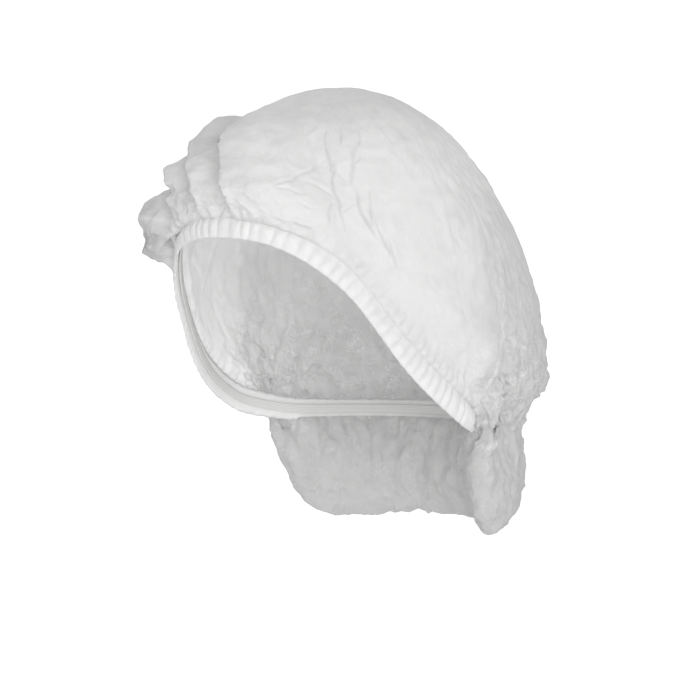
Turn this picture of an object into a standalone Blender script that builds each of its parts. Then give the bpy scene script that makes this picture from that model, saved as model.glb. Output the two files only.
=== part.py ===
"""A disposable hair cap as it is worn: a nonwoven mob cap, its pleats fanned at the forehead.

The cap faces -Y, the wearer's left is +X and Z is 0 at the inside of the crown's top. Three pieces:
the crown, one thin wall with the fan of pleats and the lobe that sags at the nape, the ruched hem
casing, and the flat elastic that lies against the inside of the casing.
"""

import math
from typing import NamedTuple

import bmesh
import bpy
from mathutils import Vector

# Sizes of the head that the cap fits, in metres
HEAD_HALF_WIDTH = 0.079
HEAD_HALF_LENGTH = 0.096
NAPE_DEPTH = 0.176  # the hem at the nape, below the crown's top

# The cloth
CLOTH_WALL = 0.0012
BAG_SLACK = 0.022  # how far the bag stands off the back of the head
FAN_REACH = 0.027  # how far the forehead pleats stand off the crown
FAN_BLADE = 13.0  # width of one pleat, in degrees of azimuth
BLADE_BACK = 0.26  # width of a pleat's steep side, a share of FAN_BLADE
FAN_FOOT = 0.94  # level at which the pleats have sunk into the hem's gathers, of the seam's depth
LOBE_DROP = 0.053  # how far the lobe hangs below the hem at the nape
LOBE_SPAN = 0.031  # from the lobe's inner wall to its outer wall
WAIST_RISE = 0.003  # the pinch above the lobe, over the hem's lower edge
LOBE_TURN = 1.4  # how soon the skirt becomes a lobe as its droop grows
GATHER_DEPTH = 0.0024  # the small folds round the lobe
GATHER_PITCH = 17.0  # degrees of azimuth from one small fold to the next
CREASE_DEPTH = 0.0022  # the creases over the temple
CREASE_WIDTH = 0.0075
SEAM_RUN = 0.006  # the stretch of crown that leaves the hem squarely

# The hem
HEM_HEIGHT = 0.017  # where both rows of ruching show, at the temple
HEM_WALL = 0.0012
RIB_PITCH = 0.0059
RIB_DEPTH = 0.0030
STEPS_A_RIB = 3

# The elastic and the clearances
ELASTIC_WIDTH = 0.005
ELASTIC_THICKNESS = 0.001
ELASTIC_STEPS = 72
SEAM_GAP = 0.0003
SIDE_GAP = 0.0007  # where the seam passes the casing's ribs to get below them
SEAM_CORNER = 0.35  # how squarely it passes them, an exponent: 1 for an ellipse, 0 for a corner

ROWS = 18  # rows of faces from the crown's top to its seam
DOME_ROWS = 10  # those of them above the skirt
DOME_STEPS = 24  # steps in which the dome's curve is worked out
SKIRT_STEPS = 8  # steps of the skirt's curve from one knot to the next
DOME_END = 0.30  # depth where the skirt begins, a share of the seam's depth
DOME_END_RISE = 0.44  # how much that share grows with the depth of the hem
DOME_END_LOBE = 0.09  # and how much over the lobe
FOLDS_START = 0.39  # share of the way from top to seam where the lobe's folds begin
FOLDS_FADE_IN = 4.0  # how fast they come in, and how fast they sink into the hem
FOLDS_FADE_OUT = 7.0


class Section(NamedTuple):
    """How the cap hangs at one azimuth, in degrees from the front towards the wearer's left."""

    azimuth: float
    hem: float  # depth of the hem's lower edge, a share of NAPE_DEPTH
    grip: float  # distance of the hem from the axis, a share of the head's reach
    height: float  # height of the hem, a share of HEM_HEIGHT
    lean: float  # degrees that the hem's top leans towards the axis
    belly: float  # depth where the cloth is fullest, a share of NAPE_DEPTH
    slack: float  # how far the cloth stands off the head there, a share of BAG_SLACK
    fullness: float  # exponent of the dome's curve, 2 for an ellipse
    droop: float  # how far the cloth hangs below the hem, a share of LOBE_DROP
    span: float  # thickness of what hangs there, a share of LOBE_SPAN
    under: float  # where the seam meets the hem, from 0 at its top edge to 1 at its lower edge


SECTIONS = [
    Section(-165, 1.00, 0.77, 0.62, -18, 0.82, 0.84, 2.00, 0.96, 1.06, 1.0),
    Section(-140, 1.00, 0.78, 0.62, -15, 0.82, 0.76, 2.00, 0.98, 0.85, 1.0),
    Section(-120, 1.00, 0.81, 0.66, -10, 0.80, 0.60, 2.08, 0.76, 0.52, 1.0),
    Section(-104, 0.99, 0.91, 0.75, -4, 0.76, 0.40, 2.20, 0.10, 0.26, 0.2),
    Section(-90, 0.96, 0.99, 0.85, 0, 0.72, 0.28, 2.28, 0.0, 0.0, 0.0),
    Section(-70, 0.85, 1.01, 0.95, 3, 0.68, 0.16, 2.28, 0.0, 0.0, 0.0),
    Section(-50, 0.65, 1.01, 0.80, 8, 0.64, 0.10, 2.20, 0.0, 0.0, 0.0),
    Section(-30, 0.49, 1.00, 0.66, 12, 0.62, 0.08, 2.15, 0.0, 0.0, 0.0),
    Section(0, 0.43, 1.00, 0.62, 12, 0.62, 0.08, 2.15, 0.0, 0.0, 0.0),
    Section(20, 0.46, 1.00, 0.64, 12, 0.63, 0.08, 2.15, 0.0, 0.0, 0.0),
    Section(40, 0.58, 1.00, 0.85, 8, 0.65, 0.10, 2.18, 0.0, 0.0, 0.0),
    Section(60, 0.79, 1.01, 1.00, 4, 0.68, 0.12, 2.24, 0.0, 0.0, 0.0),
    Section(75, 0.90, 1.01, 0.95, 2, 0.71, 0.18, 2.26, 0.0, 0.0, 0.0),
    Section(90, 0.97, 0.98, 0.85, 0, 0.75, 0.30, 2.22, 0.0, 0.0, 0.0),
    Section(102, 0.99, 0.90, 0.75, -4, 0.79, 0.44, 2.12, 0.10, 0.20, 0.2),
    Section(112, 1.00, 0.84, 0.68, -8, 0.81, 0.56, 2.02, 0.52, 0.30, 0.8),
    Section(121, 1.00, 0.81, 0.64, -10, 0.83, 0.67, 1.93, 0.88, 0.50, 1.0),
    Section(132, 1.00, 0.79, 0.62, -13, 0.84, 0.77, 1.88, 1.02, 0.74, 1.0),
    Section(150, 1.00, 0.77, 0.62, -16, 0.84, 0.83, 1.92, 1.00, 0.94, 1.0),
    Section(172, 1.00, 0.77, 0.62, -18, 0.83, 0.86, 1.98, 0.95, 1.08, 1.0),
]


class Blade(NamedTuple):
    """One pleat of the fan at the forehead; its crest is steep towards the wearer's right."""

    azimuth: float  # degrees, where its crest meets the hem
    sweep: float  # degrees that its crest swings towards the wearer's right at its top
    reach: float  # how far it stands off, a share of FAN_REACH
    top: float  # depth where it leaves the crown, a share of the seam's depth there
    shoulder: float  # depth from which it stands off by its whole reach, a share of the same
    foot: float  # depth down to which it does, a share of the same
    spread: float  # width of its gentle side, a share of FAN_BLADE


BLADES = [
    Blade(2, 6, 0.92, 0.14, 0.42, 0.50, 2.60),
    Blade(-10, 4, 1.08, 0.15, 0.29, 0.50, 0.90),
    Blade(-22, 3, 0.98, 0.34, 0.58, 0.64, 0.90),
    Blade(-33, 2, 0.94, 0.58, 0.79, 0.80, 0.85),
    Blade(-44, 1, 0.84, 0.58, 0.78, 0.84, 0.90),
    Blade(-57, 0, 0.34, 0.55, 0.70, 0.90, 0.90),
]


class Crease(NamedTuple):
    """One sharp crease over the temple; levels are shares of the seam's depth."""

    start_azimuth: float
    start_level: float
    end_azimuth: float
    end_level: float
    depth: float  # a share of CREASE_DEPTH


CREASES = [
    Crease(29, 0.33, 40, 0.88, 1.0),
    Crease(46, 0.36, 51, 0.75, 1.0),
    Crease(51, 0.66, 59, 0.81, 0.9),
    Crease(14, 0.83, 29, 0.60, 0.8),
]


class Zone(NamedTuple):
    """A stretch of azimuth with evenly spaced columns of faces."""

    start: float
    columns: int


class Sag(NamedTuple):
    """One point of the lobe's curve, from the hem's lower edge."""

    outwards: float  # a share of the lobe's thickness
    down: float  # a share of its drop
    rise: float  # a share of WAIST_RISE


LOBE_CURVE = [
    Sag(1.00, 0.00, 1.0),
    Sag(0.93, 0.35, 0.0),
    Sag(0.80, 0.84, 0.0),
    Sag(0.36, 1.00, 0.0),
    Sag(-0.10, 0.55, 0.0),
]


class CasingRow(NamedTuple):
    """One line round the hem casing."""

    height: float  # above its middle, a share of half its height
    ripple: float  # how far the ribs stand out here, a share of RIB_DEPTH
    side: int  # 1 on its outer face, -1 on its inner face and 0 at an edge


CASING_ROWS = [
    CasingRow(-1.0, 0.3, 0),
    CasingRow(-0.5, 1.0, 1),
    CasingRow(0.0, 0.25, 1),
    CasingRow(0.5, 1.0, 1),
    CasingRow(1.0, 0.0, 0),
    CasingRow(0.6, 0.0, -1),
    CasingRow(-0.6, 0.0, -1),
]

# Each zone ends where the next begins; finer where the cloth is folded
ZONES = [
    Zone(-60, 32),
    Zone(8, 20),
    Zone(62, 6),
    Zone(98, 9),
    Zone(119, 23),
    Zone(239, 7),
    Zone(258, 4),
]

WHITE_CLOTH = (0.88, 0.88, 0.87, 1.0)
WHITE_ELASTIC = (0.80, 0.80, 0.79, 1.0)


def smooth(value: float) -> float:
    """Ease from 0 to 1, flat at both ends."""
    value = min(max(value, 0.0), 1.0)
    return value * value * (3.0 - 2.0 * value)


def section_at(azimuth: float) -> Section:
    """Read the section table at any azimuth with a closed cubic curve through its rows."""
    count = len(SECTIONS)
    azimuth = (azimuth - SECTIONS[0].azimuth) % 360.0 + SECTIONS[0].azimuth
    place = max(i for i in range(count) if SECTIONS[i].azimuth <= azimuth)
    rows = [SECTIONS[(place + step) % count] for step in (-1, 0, 1, 2)]
    turns = [360.0 * ((place + step) // count) for step in (-1, 0, 1, 2)]
    angles = [row.azimuth + turn for row, turn in zip(rows, turns)]
    run = angles[2] - angles[1]
    share = (azimuth - angles[1]) / run
    values = []
    for before, here, there, after in zip(*rows):
        slope_here = (there - before) / (angles[2] - angles[0]) * run
        slope_there = (after - here) / (angles[3] - angles[1]) * run
        if (there - here) * (here - before) <= 0:
            slope_here = 0.0
        if (after - there) * (there - here) <= 0:
            slope_there = 0.0
        values.append(
            (2 * share**3 - 3 * share**2 + 1) * here
            + (share**3 - 2 * share**2 + share) * slope_here
            + (3 * share**2 - 2 * share**3) * there
            + (share**3 - share**2) * slope_there
        )
    return Section(azimuth, *values[1:])


def head_reach(azimuth: float) -> float:
    """Distance from the axis to the head's widest outline."""
    angle = math.radians(azimuth)
    across = math.sin(angle) / HEAD_HALF_WIDTH
    along = math.cos(angle) / HEAD_HALF_LENGTH
    return 1.0 / math.hypot(across, along)


def hem_frame(section: Section) -> tuple[Vector, Vector, Vector]:
    """Middle of the hem's height as (reach, depth), with its directions up and out."""
    lean = math.radians(section.lean)
    up = Vector((-math.sin(lean), -math.cos(lean)))
    out = Vector((math.cos(lean), -math.sin(lean)))
    foot = Vector((head_reach(section.azimuth) * section.grip, NAPE_DEPTH * section.hem))
    return foot + up * (HEM_HEIGHT * section.height / 2), up, out


def seam_ends(section: Section) -> tuple[Vector, Vector]:
    """Where the crown's inner face meets the hem, as (reach, depth), and the way it leaves."""
    middle, up, out = hem_frame(section)
    angle = math.pi * (0.5 - section.under)
    half_height = HEM_HEIGHT * section.height / 2
    half_depth = RIB_DEPTH + HEM_WALL / 2
    beside = max(math.cos(angle), 0.0) ** SEAM_CORNER * (half_depth + SIDE_GAP)
    nose = middle + up * (math.sin(angle) * half_height) + out * beside
    away = (up * (math.sin(angle) * half_depth) + out * (math.cos(angle) * half_height)).normalized()
    inward = Vector((away.y, -away.x)) * (CLOTH_WALL / 2)
    return nose + away * SEAM_GAP + inward, away


def curve_through(knots: list[Vector], steps: int) -> list[Vector]:
    """Points of a smooth curve through the knots, each span cut into the same number of steps."""
    ends = [knots[0] * 2 - knots[1], *knots, knots[-1] * 2 - knots[-2]]
    points = []
    for before, here, there, after in zip(ends, ends[1:], ends[2:], ends[3:]):
        gaps = [math.sqrt((b - a).length) for a, b in ((before, here), (here, there), (there, after))]
        slope_here = (here - before) / gaps[0] - (there - before) / (gaps[0] + gaps[1])
        slope_here = (slope_here + (there - here) / gaps[1]) * gaps[1]
        slope_there = (there - here) / gaps[1] - (after - here) / (gaps[1] + gaps[2])
        slope_there = (slope_there + (after - there) / gaps[2]) * gaps[1]
        for step in range(steps):
            share = step / steps
            points.append(
                here * (2 * share**3 - 3 * share**2 + 1)
                + slope_here * (share**3 - 2 * share**2 + share)
                + there * (3 * share**2 - 2 * share**3)
                + slope_there * (share**3 - share**2)
            )
    return [*points, knots[-1]]


def meridian(azimuth: float) -> tuple[list[Vector], list[Vector]]:
    """The crown's inner face at one azimuth, as (reach, depth): its dome, then its skirt."""
    section = section_at(azimuth)
    seam, away = seam_ends(section)
    belly_reach = head_reach(azimuth) + BAG_SLACK * section.slack
    belly_depth = NAPE_DEPTH * section.belly
    weight = smooth(section.droop * LOBE_TURN)
    dome_end = DOME_END + DOME_END_RISE * section.hem + DOME_END_LOBE * weight
    turn_depth = min(belly_depth, seam.y * dome_end)

    def dome(depth: float) -> Vector:
        share = 1.0 - (1.0 - depth / belly_depth) ** section.fullness
        return Vector((belly_reach * share ** (1.0 / section.fullness), depth))

    quarters = [math.pi / 2 * step / DOME_STEPS for step in range(DOME_STEPS)]
    points = [dome(turn_depth * (1.0 - math.cos(quarter))) for quarter in quarters]
    turn = dome(turn_depth)
    approach = seam + away * SEAM_RUN
    tangent = (turn - dome(turn_depth * 0.9)).normalized() * (approach - turn).length

    def plain(share: float) -> Vector:
        return (
            turn * (2 * share**3 - 3 * share**2 + 1)
            + tangent * (share**3 - 2 * share**2 + share)
            + approach * (3 * share**2 - 2 * share**3)
            - away * (approach - turn).length * (share**3 - share**2)
        )

    foot = Vector((head_reach(azimuth) * section.grip, NAPE_DEPTH * section.hem))
    span = LOBE_SPAN * section.span
    drop = LOBE_DROP * section.droop
    knots = [turn]
    for index, sag in enumerate(LOBE_CURVE):
        hanging = foot + Vector((span * sag.outwards, drop * sag.down - WAIST_RISE * sag.rise))
        knots.append(plain((index + 1) / (len(LOBE_CURVE) + 1)).lerp(hanging, weight))
    return points + [turn], curve_through([*knots, approach, seam], SKIRT_STEPS)


def along(points: list[Vector], share: float) -> tuple[Vector, Vector]:
    """The point at a share of a polyline's length, and the direction of the line there."""
    lengths = [(b - a).length for a, b in zip(points, points[1:])]
    left = share * sum(lengths)
    for index, length in enumerate(lengths):
        if left <= length or index == len(lengths) - 1:
            step = (points[index + 1] - points[index]) / length
            return points[index] + step * min(left, length), step
        left -= length
    raise ValueError("the share is past the end of the line")


def blade_height(azimuth: float, level: float) -> float:
    """How far the fan's pleats lift the cloth off the crown, at a share of the seam's depth."""
    azimuth = (azimuth + 180.0) % 360.0 - 180.0
    height = 0.0
    for blade in BLADES:
        rise = smooth((level - blade.top) / (blade.shoulder - blade.top))
        fall = max(FAN_FOOT - level, 0.0) / (FAN_FOOT - blade.foot)
        crest = blade.azimuth - blade.sweep * (1.0 - level)
        place = (azimuth - crest) / FAN_BLADE
        side = place / blade.spread if place >= 0 else -place / BLADE_BACK
        height = max(height, FAN_REACH * blade.reach * min(rise, fall) * smooth(1.0 - side))
    return height


def crease_depth(azimuth: float, level: float) -> float:
    """How deep the temple's creases cut into the cloth, at a share of the seam's depth."""
    depth = 0.0
    sideways = math.radians(HEAD_HALF_LENGTH)
    downwards = NAPE_DEPTH / 2
    for crease in CREASES:
        run = Vector(
            (
                (crease.end_azimuth - crease.start_azimuth) * sideways,
                (crease.end_level - crease.start_level) * downwards,
            )
        )
        here = Vector(
            (
                (azimuth - crease.start_azimuth) * sideways,
                (level - crease.start_level) * downwards,
            )
        )
        share = min(max(here.dot(run) / run.length_squared, 0.0), 1.0)
        off = (here - run * share).length / CREASE_WIDTH
        depth = max(depth, CREASE_DEPTH * crease.depth * smooth(1.0 - off))
    return depth


def crown_point(azimuth: float, line: tuple[list[Vector], list[Vector]], way: float) -> Vector:
    """A point of the crown's inner face; way runs from 0 at its top to 1 at its seam."""
    section = section_at(azimuth)
    dome, skirt = line
    dome_share = DOME_ROWS / ROWS
    if way < dome_share:
        point, step = along(dome, way / dome_share)
    else:
        point, step = along(skirt, (way - dome_share) / (1.0 - dome_share))
    normal = Vector((step.y, -step.x))
    level = point.y / skirt[-1].y
    fade = smooth((way - FOLDS_START) * FOLDS_FADE_IN) * smooth((1.0 - way) * FOLDS_FADE_OUT)
    gather = math.cos(math.tau * azimuth / GATHER_PITCH) * section.droop * fade
    lift = GATHER_DEPTH * gather - crease_depth(azimuth, level)
    point = point + normal * lift + Vector((blade_height(azimuth, level), 0.0))
    angle = math.radians(azimuth)
    return Vector((point.x * math.sin(angle), -point.x * math.cos(angle), -point.y))


def columns() -> list[float]:
    """Azimuths of the crown's columns, closer together where the cloth is folded."""
    azimuths = []
    ends = [zone.start for zone in ZONES[1:]] + [ZONES[0].start + 360.0]
    for zone, end in zip(ZONES, ends):
        step = (end - zone.start) / zone.columns
        azimuths += [zone.start + step * index for index in range(zone.columns)]
    return azimuths


def mapped_grid(across: int, down: int, place) -> bmesh.types.BMesh:
    """A grid whose every corner (column, row) is moved to place(column, row)."""
    mesh = bmesh.new()
    bmesh.ops.create_grid(mesh, x_segments=across, y_segments=down, size=0.5)
    for vert in mesh.verts:
        column = round((vert.co.x + 0.5) * across)
        row = round((0.5 - vert.co.y) * down)
        vert.co = place(column, row)
    bmesh.ops.remove_doubles(mesh, verts=mesh.verts, dist=0.00001)
    return mesh


def add_object(name: str, mesh: bmesh.types.BMesh, material, collection) -> bpy.types.Object:
    """Make a mesh an object of the cap's collection."""
    bmesh.ops.recalc_face_normals(mesh, faces=mesh.faces)
    data = bpy.data.meshes.new(name)
    mesh.to_mesh(data)
    mesh.free()
    data.shade_smooth()
    data.materials.append(material)
    item = bpy.data.objects.new(name, data)
    collection.objects.link(item)
    return item


def cloth_material(name: str, colour: tuple, roughness: float):
    """A matt cloth finish."""
    material = bpy.data.materials.new(name)
    material.use_nodes = True
    shader = material.node_tree.nodes["Principled BSDF"]
    shader.inputs["Base Color"].default_value = colour
    shader.inputs["Roughness"].default_value = roughness
    shader.inputs["Metallic"].default_value = 0.0
    return material


def make_crown(material, collection) -> bpy.types.Object:
    """The bag of the cap: one thin wall from the top of the head to the seam."""
    azimuths = columns()
    lines = [meridian(azimuth) for azimuth in azimuths]

    def place(column: int, row: int) -> Vector:
        index = column % len(azimuths)
        if row == 0:
            return Vector((0.0, 0.0, 0.0))
        return crown_point(azimuths[index], lines[index], row / ROWS)

    crown = add_object("crown", mapped_grid(len(azimuths), ROWS, place), material, collection)
    wall = crown.modifiers.new("Wall", "SOLIDIFY")
    wall.thickness = CLOTH_WALL
    wall.offset = 1.0
    return crown


def hem_point(azimuth: float, height: float, off: float) -> Vector:
    """A point of the hem, from its height above its middle and its distance outwards."""
    middle, up, out = hem_frame(section_at(azimuth))
    point = middle + up * height + out * off
    angle = math.radians(azimuth)
    return Vector((point.x * math.sin(angle), -point.x * math.cos(angle), -point.y))


def hem_length() -> float:
    """Length of the worn hem, once round."""
    ring = [hem_point(azimuth, 0.0, 0.0) for azimuth in range(360)]
    return sum((b - a).length for a, b in zip(ring, ring[1:] + ring[:1]))


def make_hem_casing(material, collection) -> bpy.types.Object:
    """The ruched hem: two rows of small ribs either side of the elastic's line."""
    ribs = round(hem_length() / RIB_PITCH)
    steps = ribs * STEPS_A_RIB

    def place(column: int, row: int) -> Vector:
        azimuth = 360.0 * (column % steps) / steps
        line = CASING_ROWS[row % len(CASING_ROWS)]
        half = HEM_HEIGHT * section_at(azimuth).height / 2
        wave = (1.0 + math.cos(math.tau * column / STEPS_A_RIB)) / 2 * RIB_DEPTH
        return hem_point(azimuth, line.height * half, wave * line.ripple + line.side * HEM_WALL / 2)

    return add_object("hem_casing", mapped_grid(steps, len(CASING_ROWS), place), material, collection)


def make_elastic(material, collection) -> bpy.types.Object:
    """The flat elastic, against the inside of the casing."""
    outer_face = -HEM_WALL / 2 - SEAM_GAP
    corners = [(-0.5, 0.0), (0.5, 0.0), (0.5, -1.0), (-0.5, -1.0)]

    def place(column: int, row: int) -> Vector:
        height, inwards = corners[row % len(corners)]
        off = outer_face + inwards * ELASTIC_THICKNESS
        return hem_point(360.0 * (column % ELASTIC_STEPS) / ELASTIC_STEPS, height * ELASTIC_WIDTH, off)

    return add_object("elastic", mapped_grid(ELASTIC_STEPS, len(corners), place), material, collection)


def main() -> None:
    """Build the cap in an empty scene."""
    for item in list(bpy.data.objects):
        bpy.data.objects.remove(item)
    collection = bpy.data.collections.new("disposable_hair_cap")
    bpy.context.scene.collection.children.link(collection)
    make_crown(cloth_material("crown_nonwoven", WHITE_CLOTH, 0.85), collection)
    make_hem_casing(cloth_material("hem_nonwoven", WHITE_CLOTH, 0.85), collection)
    make_elastic(cloth_material("elastic_band", WHITE_ELASTIC, 0.7), collection)


main()
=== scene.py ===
"""The looks of a disposable hair cap in its worn form.

Three pieces are dressed: the crown, one sheet of nonwoven with its fan of pleats at the forehead
and its slack fold at the nape, the ruched hem casing, and the elastic inside the casing. The
cloth's folds are worked out as displacements of the sheet, not simulated. Lengths are in metres.
The cap faces -Y, the wearer's left is +X, and Z is 0 at the inside of the crown's top.
"""

import itertools
import logging
import math
from dataclasses import dataclass, field
from enum import Enum
from typing import NamedTuple

import bmesh
import bpy
import numpy as np
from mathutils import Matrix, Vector

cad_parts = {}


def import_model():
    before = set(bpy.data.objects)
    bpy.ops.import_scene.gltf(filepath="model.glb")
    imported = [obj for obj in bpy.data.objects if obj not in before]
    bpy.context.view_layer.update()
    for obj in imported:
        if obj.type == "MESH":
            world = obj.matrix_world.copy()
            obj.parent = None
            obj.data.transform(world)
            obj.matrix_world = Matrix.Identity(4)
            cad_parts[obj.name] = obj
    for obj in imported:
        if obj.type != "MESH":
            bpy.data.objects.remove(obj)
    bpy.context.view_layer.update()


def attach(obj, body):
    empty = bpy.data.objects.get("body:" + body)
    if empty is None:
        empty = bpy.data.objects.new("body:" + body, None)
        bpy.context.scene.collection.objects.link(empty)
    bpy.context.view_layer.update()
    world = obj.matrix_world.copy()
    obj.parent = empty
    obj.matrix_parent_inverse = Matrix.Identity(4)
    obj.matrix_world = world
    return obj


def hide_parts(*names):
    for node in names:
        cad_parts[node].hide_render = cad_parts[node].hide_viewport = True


LOG = logging.getLogger("hair_cap")
MILLIMETRE = 0.001

Array = np.ndarray
Socket = bpy.types.NodeSocket
Colour = tuple[float, float, float, float]
Layers = tuple["Noise", ...]
Span = tuple[float, float]


class Section(NamedTuple):
    """How the cap hangs at one azimuth, in degrees from the front towards the wearer's left."""

    azimuth: float
    hem: float  # depth of the hem's lower edge, a share of the nape's depth
    grip: float  # distance of the hem from the axis, a share of the head's reach
    height: float  # height of the hem, a share of the temple's
    lean: float  # degrees that the hem's top leans towards the axis
    belly: float  # depth where the cloth is fullest, a share of the nape's depth
    slack: float  # how far the cloth stands off the head there, a share of the bag's slack
    fullness: float  # exponent of the dome's curve, 2 for an ellipse
    droop: float  # how far the cloth hangs below the hem, a share of the lobe's drop
    span: float  # thickness of what hangs there, a share of the lobe's
    under: float  # where the seam meets the hem, from 0 at its top edge to 1 at its lower edge


SECTIONS = [
    Section(-165, 1.00, 0.77, 0.62, -18, 0.82, 0.84, 2.00, 0.96, 1.06, 1.0),
    Section(-140, 1.00, 0.78, 0.62, -15, 0.82, 0.76, 2.00, 0.98, 0.85, 1.0),
    Section(-120, 1.00, 0.81, 0.66, -10, 0.80, 0.60, 2.08, 0.76, 0.52, 1.0),
    Section(-104, 0.99, 0.91, 0.75, -4, 0.76, 0.40, 2.20, 0.10, 0.26, 0.2),
    Section(-90, 0.96, 0.99, 0.85, 0, 0.72, 0.28, 2.28, 0.0, 0.0, 0.0),
    Section(-70, 0.85, 1.01, 0.95, 3, 0.68, 0.16, 2.28, 0.0, 0.0, 0.0),
    Section(-50, 0.65, 1.01, 0.80, 8, 0.64, 0.10, 2.20, 0.0, 0.0, 0.0),
    Section(-30, 0.49, 1.00, 0.66, 12, 0.62, 0.08, 2.15, 0.0, 0.0, 0.0),
    Section(0, 0.43, 1.00, 0.62, 12, 0.62, 0.08, 2.15, 0.0, 0.0, 0.0),
    Section(20, 0.46, 1.00, 0.64, 12, 0.63, 0.08, 2.15, 0.0, 0.0, 0.0),
    Section(40, 0.58, 1.00, 0.85, 8, 0.65, 0.10, 2.18, 0.0, 0.0, 0.0),
    Section(60, 0.79, 1.01, 1.00, 4, 0.68, 0.12, 2.24, 0.0, 0.0, 0.0),
    Section(75, 0.90, 1.01, 0.95, 2, 0.71, 0.18, 2.26, 0.0, 0.0, 0.0),
    Section(90, 0.97, 0.98, 0.85, 0, 0.75, 0.30, 2.22, 0.0, 0.0, 0.0),
    Section(102, 0.99, 0.90, 0.75, -4, 0.79, 0.44, 2.12, 0.10, 0.20, 0.2),
    Section(112, 1.00, 0.84, 0.68, -8, 0.81, 0.56, 2.02, 0.52, 0.30, 0.8),
    Section(121, 1.00, 0.81, 0.64, -10, 0.83, 0.67, 1.93, 0.88, 0.50, 1.0),
    Section(132, 1.00, 0.79, 0.62, -13, 0.84, 0.77, 1.88, 1.02, 0.74, 1.0),
    Section(150, 1.00, 0.77, 0.62, -16, 0.84, 0.83, 1.92, 1.00, 0.94, 1.0),
    Section(172, 1.00, 0.77, 0.62, -18, 0.83, 0.86, 1.98, 0.95, 1.08, 1.0),
]


class Blade(NamedTuple):
    """One pleat of the fan at the forehead; its crest is steep towards the wearer's right."""

    azimuth: float  # degrees, where its crest meets the hem
    sweep: float  # degrees that its crest would swing to the wearer's right by the crown's top
    reach: float  # how far it stands off, a share of the fan's reach
    top: float  # depth where it leaves the crown, a share of the seam's depth there
    shoulder: float  # depth from which it stands off by its whole reach, a share of the same
    foot: float  # depth down to which it does, a share of the same
    end: float  # depth where it is back on the crown, a share of the same
    spread: float  # width of its gentle side, a share of a pleat's width
    round: float  # how round its tip is, from 0 for a cusp
    lift: float  # how far its top stands up, a share of how far it stands off
    hang: float  # how far its foot hangs down, likewise
    ragged: float  # how uneven its reach is, a share of it


BLADES = [
    Blade(7.5, 42, 0.80, 0.08, 0.44, 0.78, 1.02, 2.40, 0.60, 0.05, 0.0, 0.05),
    Blade(-6.5, 48, 0.83, 0.20, 0.40, 0.60, 1.01, 0.60, 0.20, 0.92, 0.0, 0.05),
    Blade(-21, 30, 0.88, 0.33, 0.59, 0.60, 1.01, 0.90, 0.06, 0.0, 0.0, 0.05),
    Blade(-37, 10, 0.78, 0.60, 0.725, 0.90, 1.08, 1.00, 0.08, 0.0, 0.25, 0.025),
    Blade(-46, 5, 0.78, 0.57, 0.675, 0.86, 0.96, 0.80, 0.20, 0.0, 0.15, 0.025),
    Blade(-58, 0, 0.34, 0.56, 0.70, 0.78, 0.94, 0.90, 0.30, 0.0, 0.0, 0.025),
]


class Fold(NamedTuple):
    """One fold or crease of the cloth, from a start to an end; depths are shares of the nape's."""

    start_azimuth: float
    start_depth: float
    end_azimuth: float
    end_depth: float
    bow: float  # degrees that its middle bulges towards the wearer's left
    height: float  # millimetres, above 0 for a ridge and below 0 for a crease
    width: float  # millimetres, half the fold's width


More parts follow.
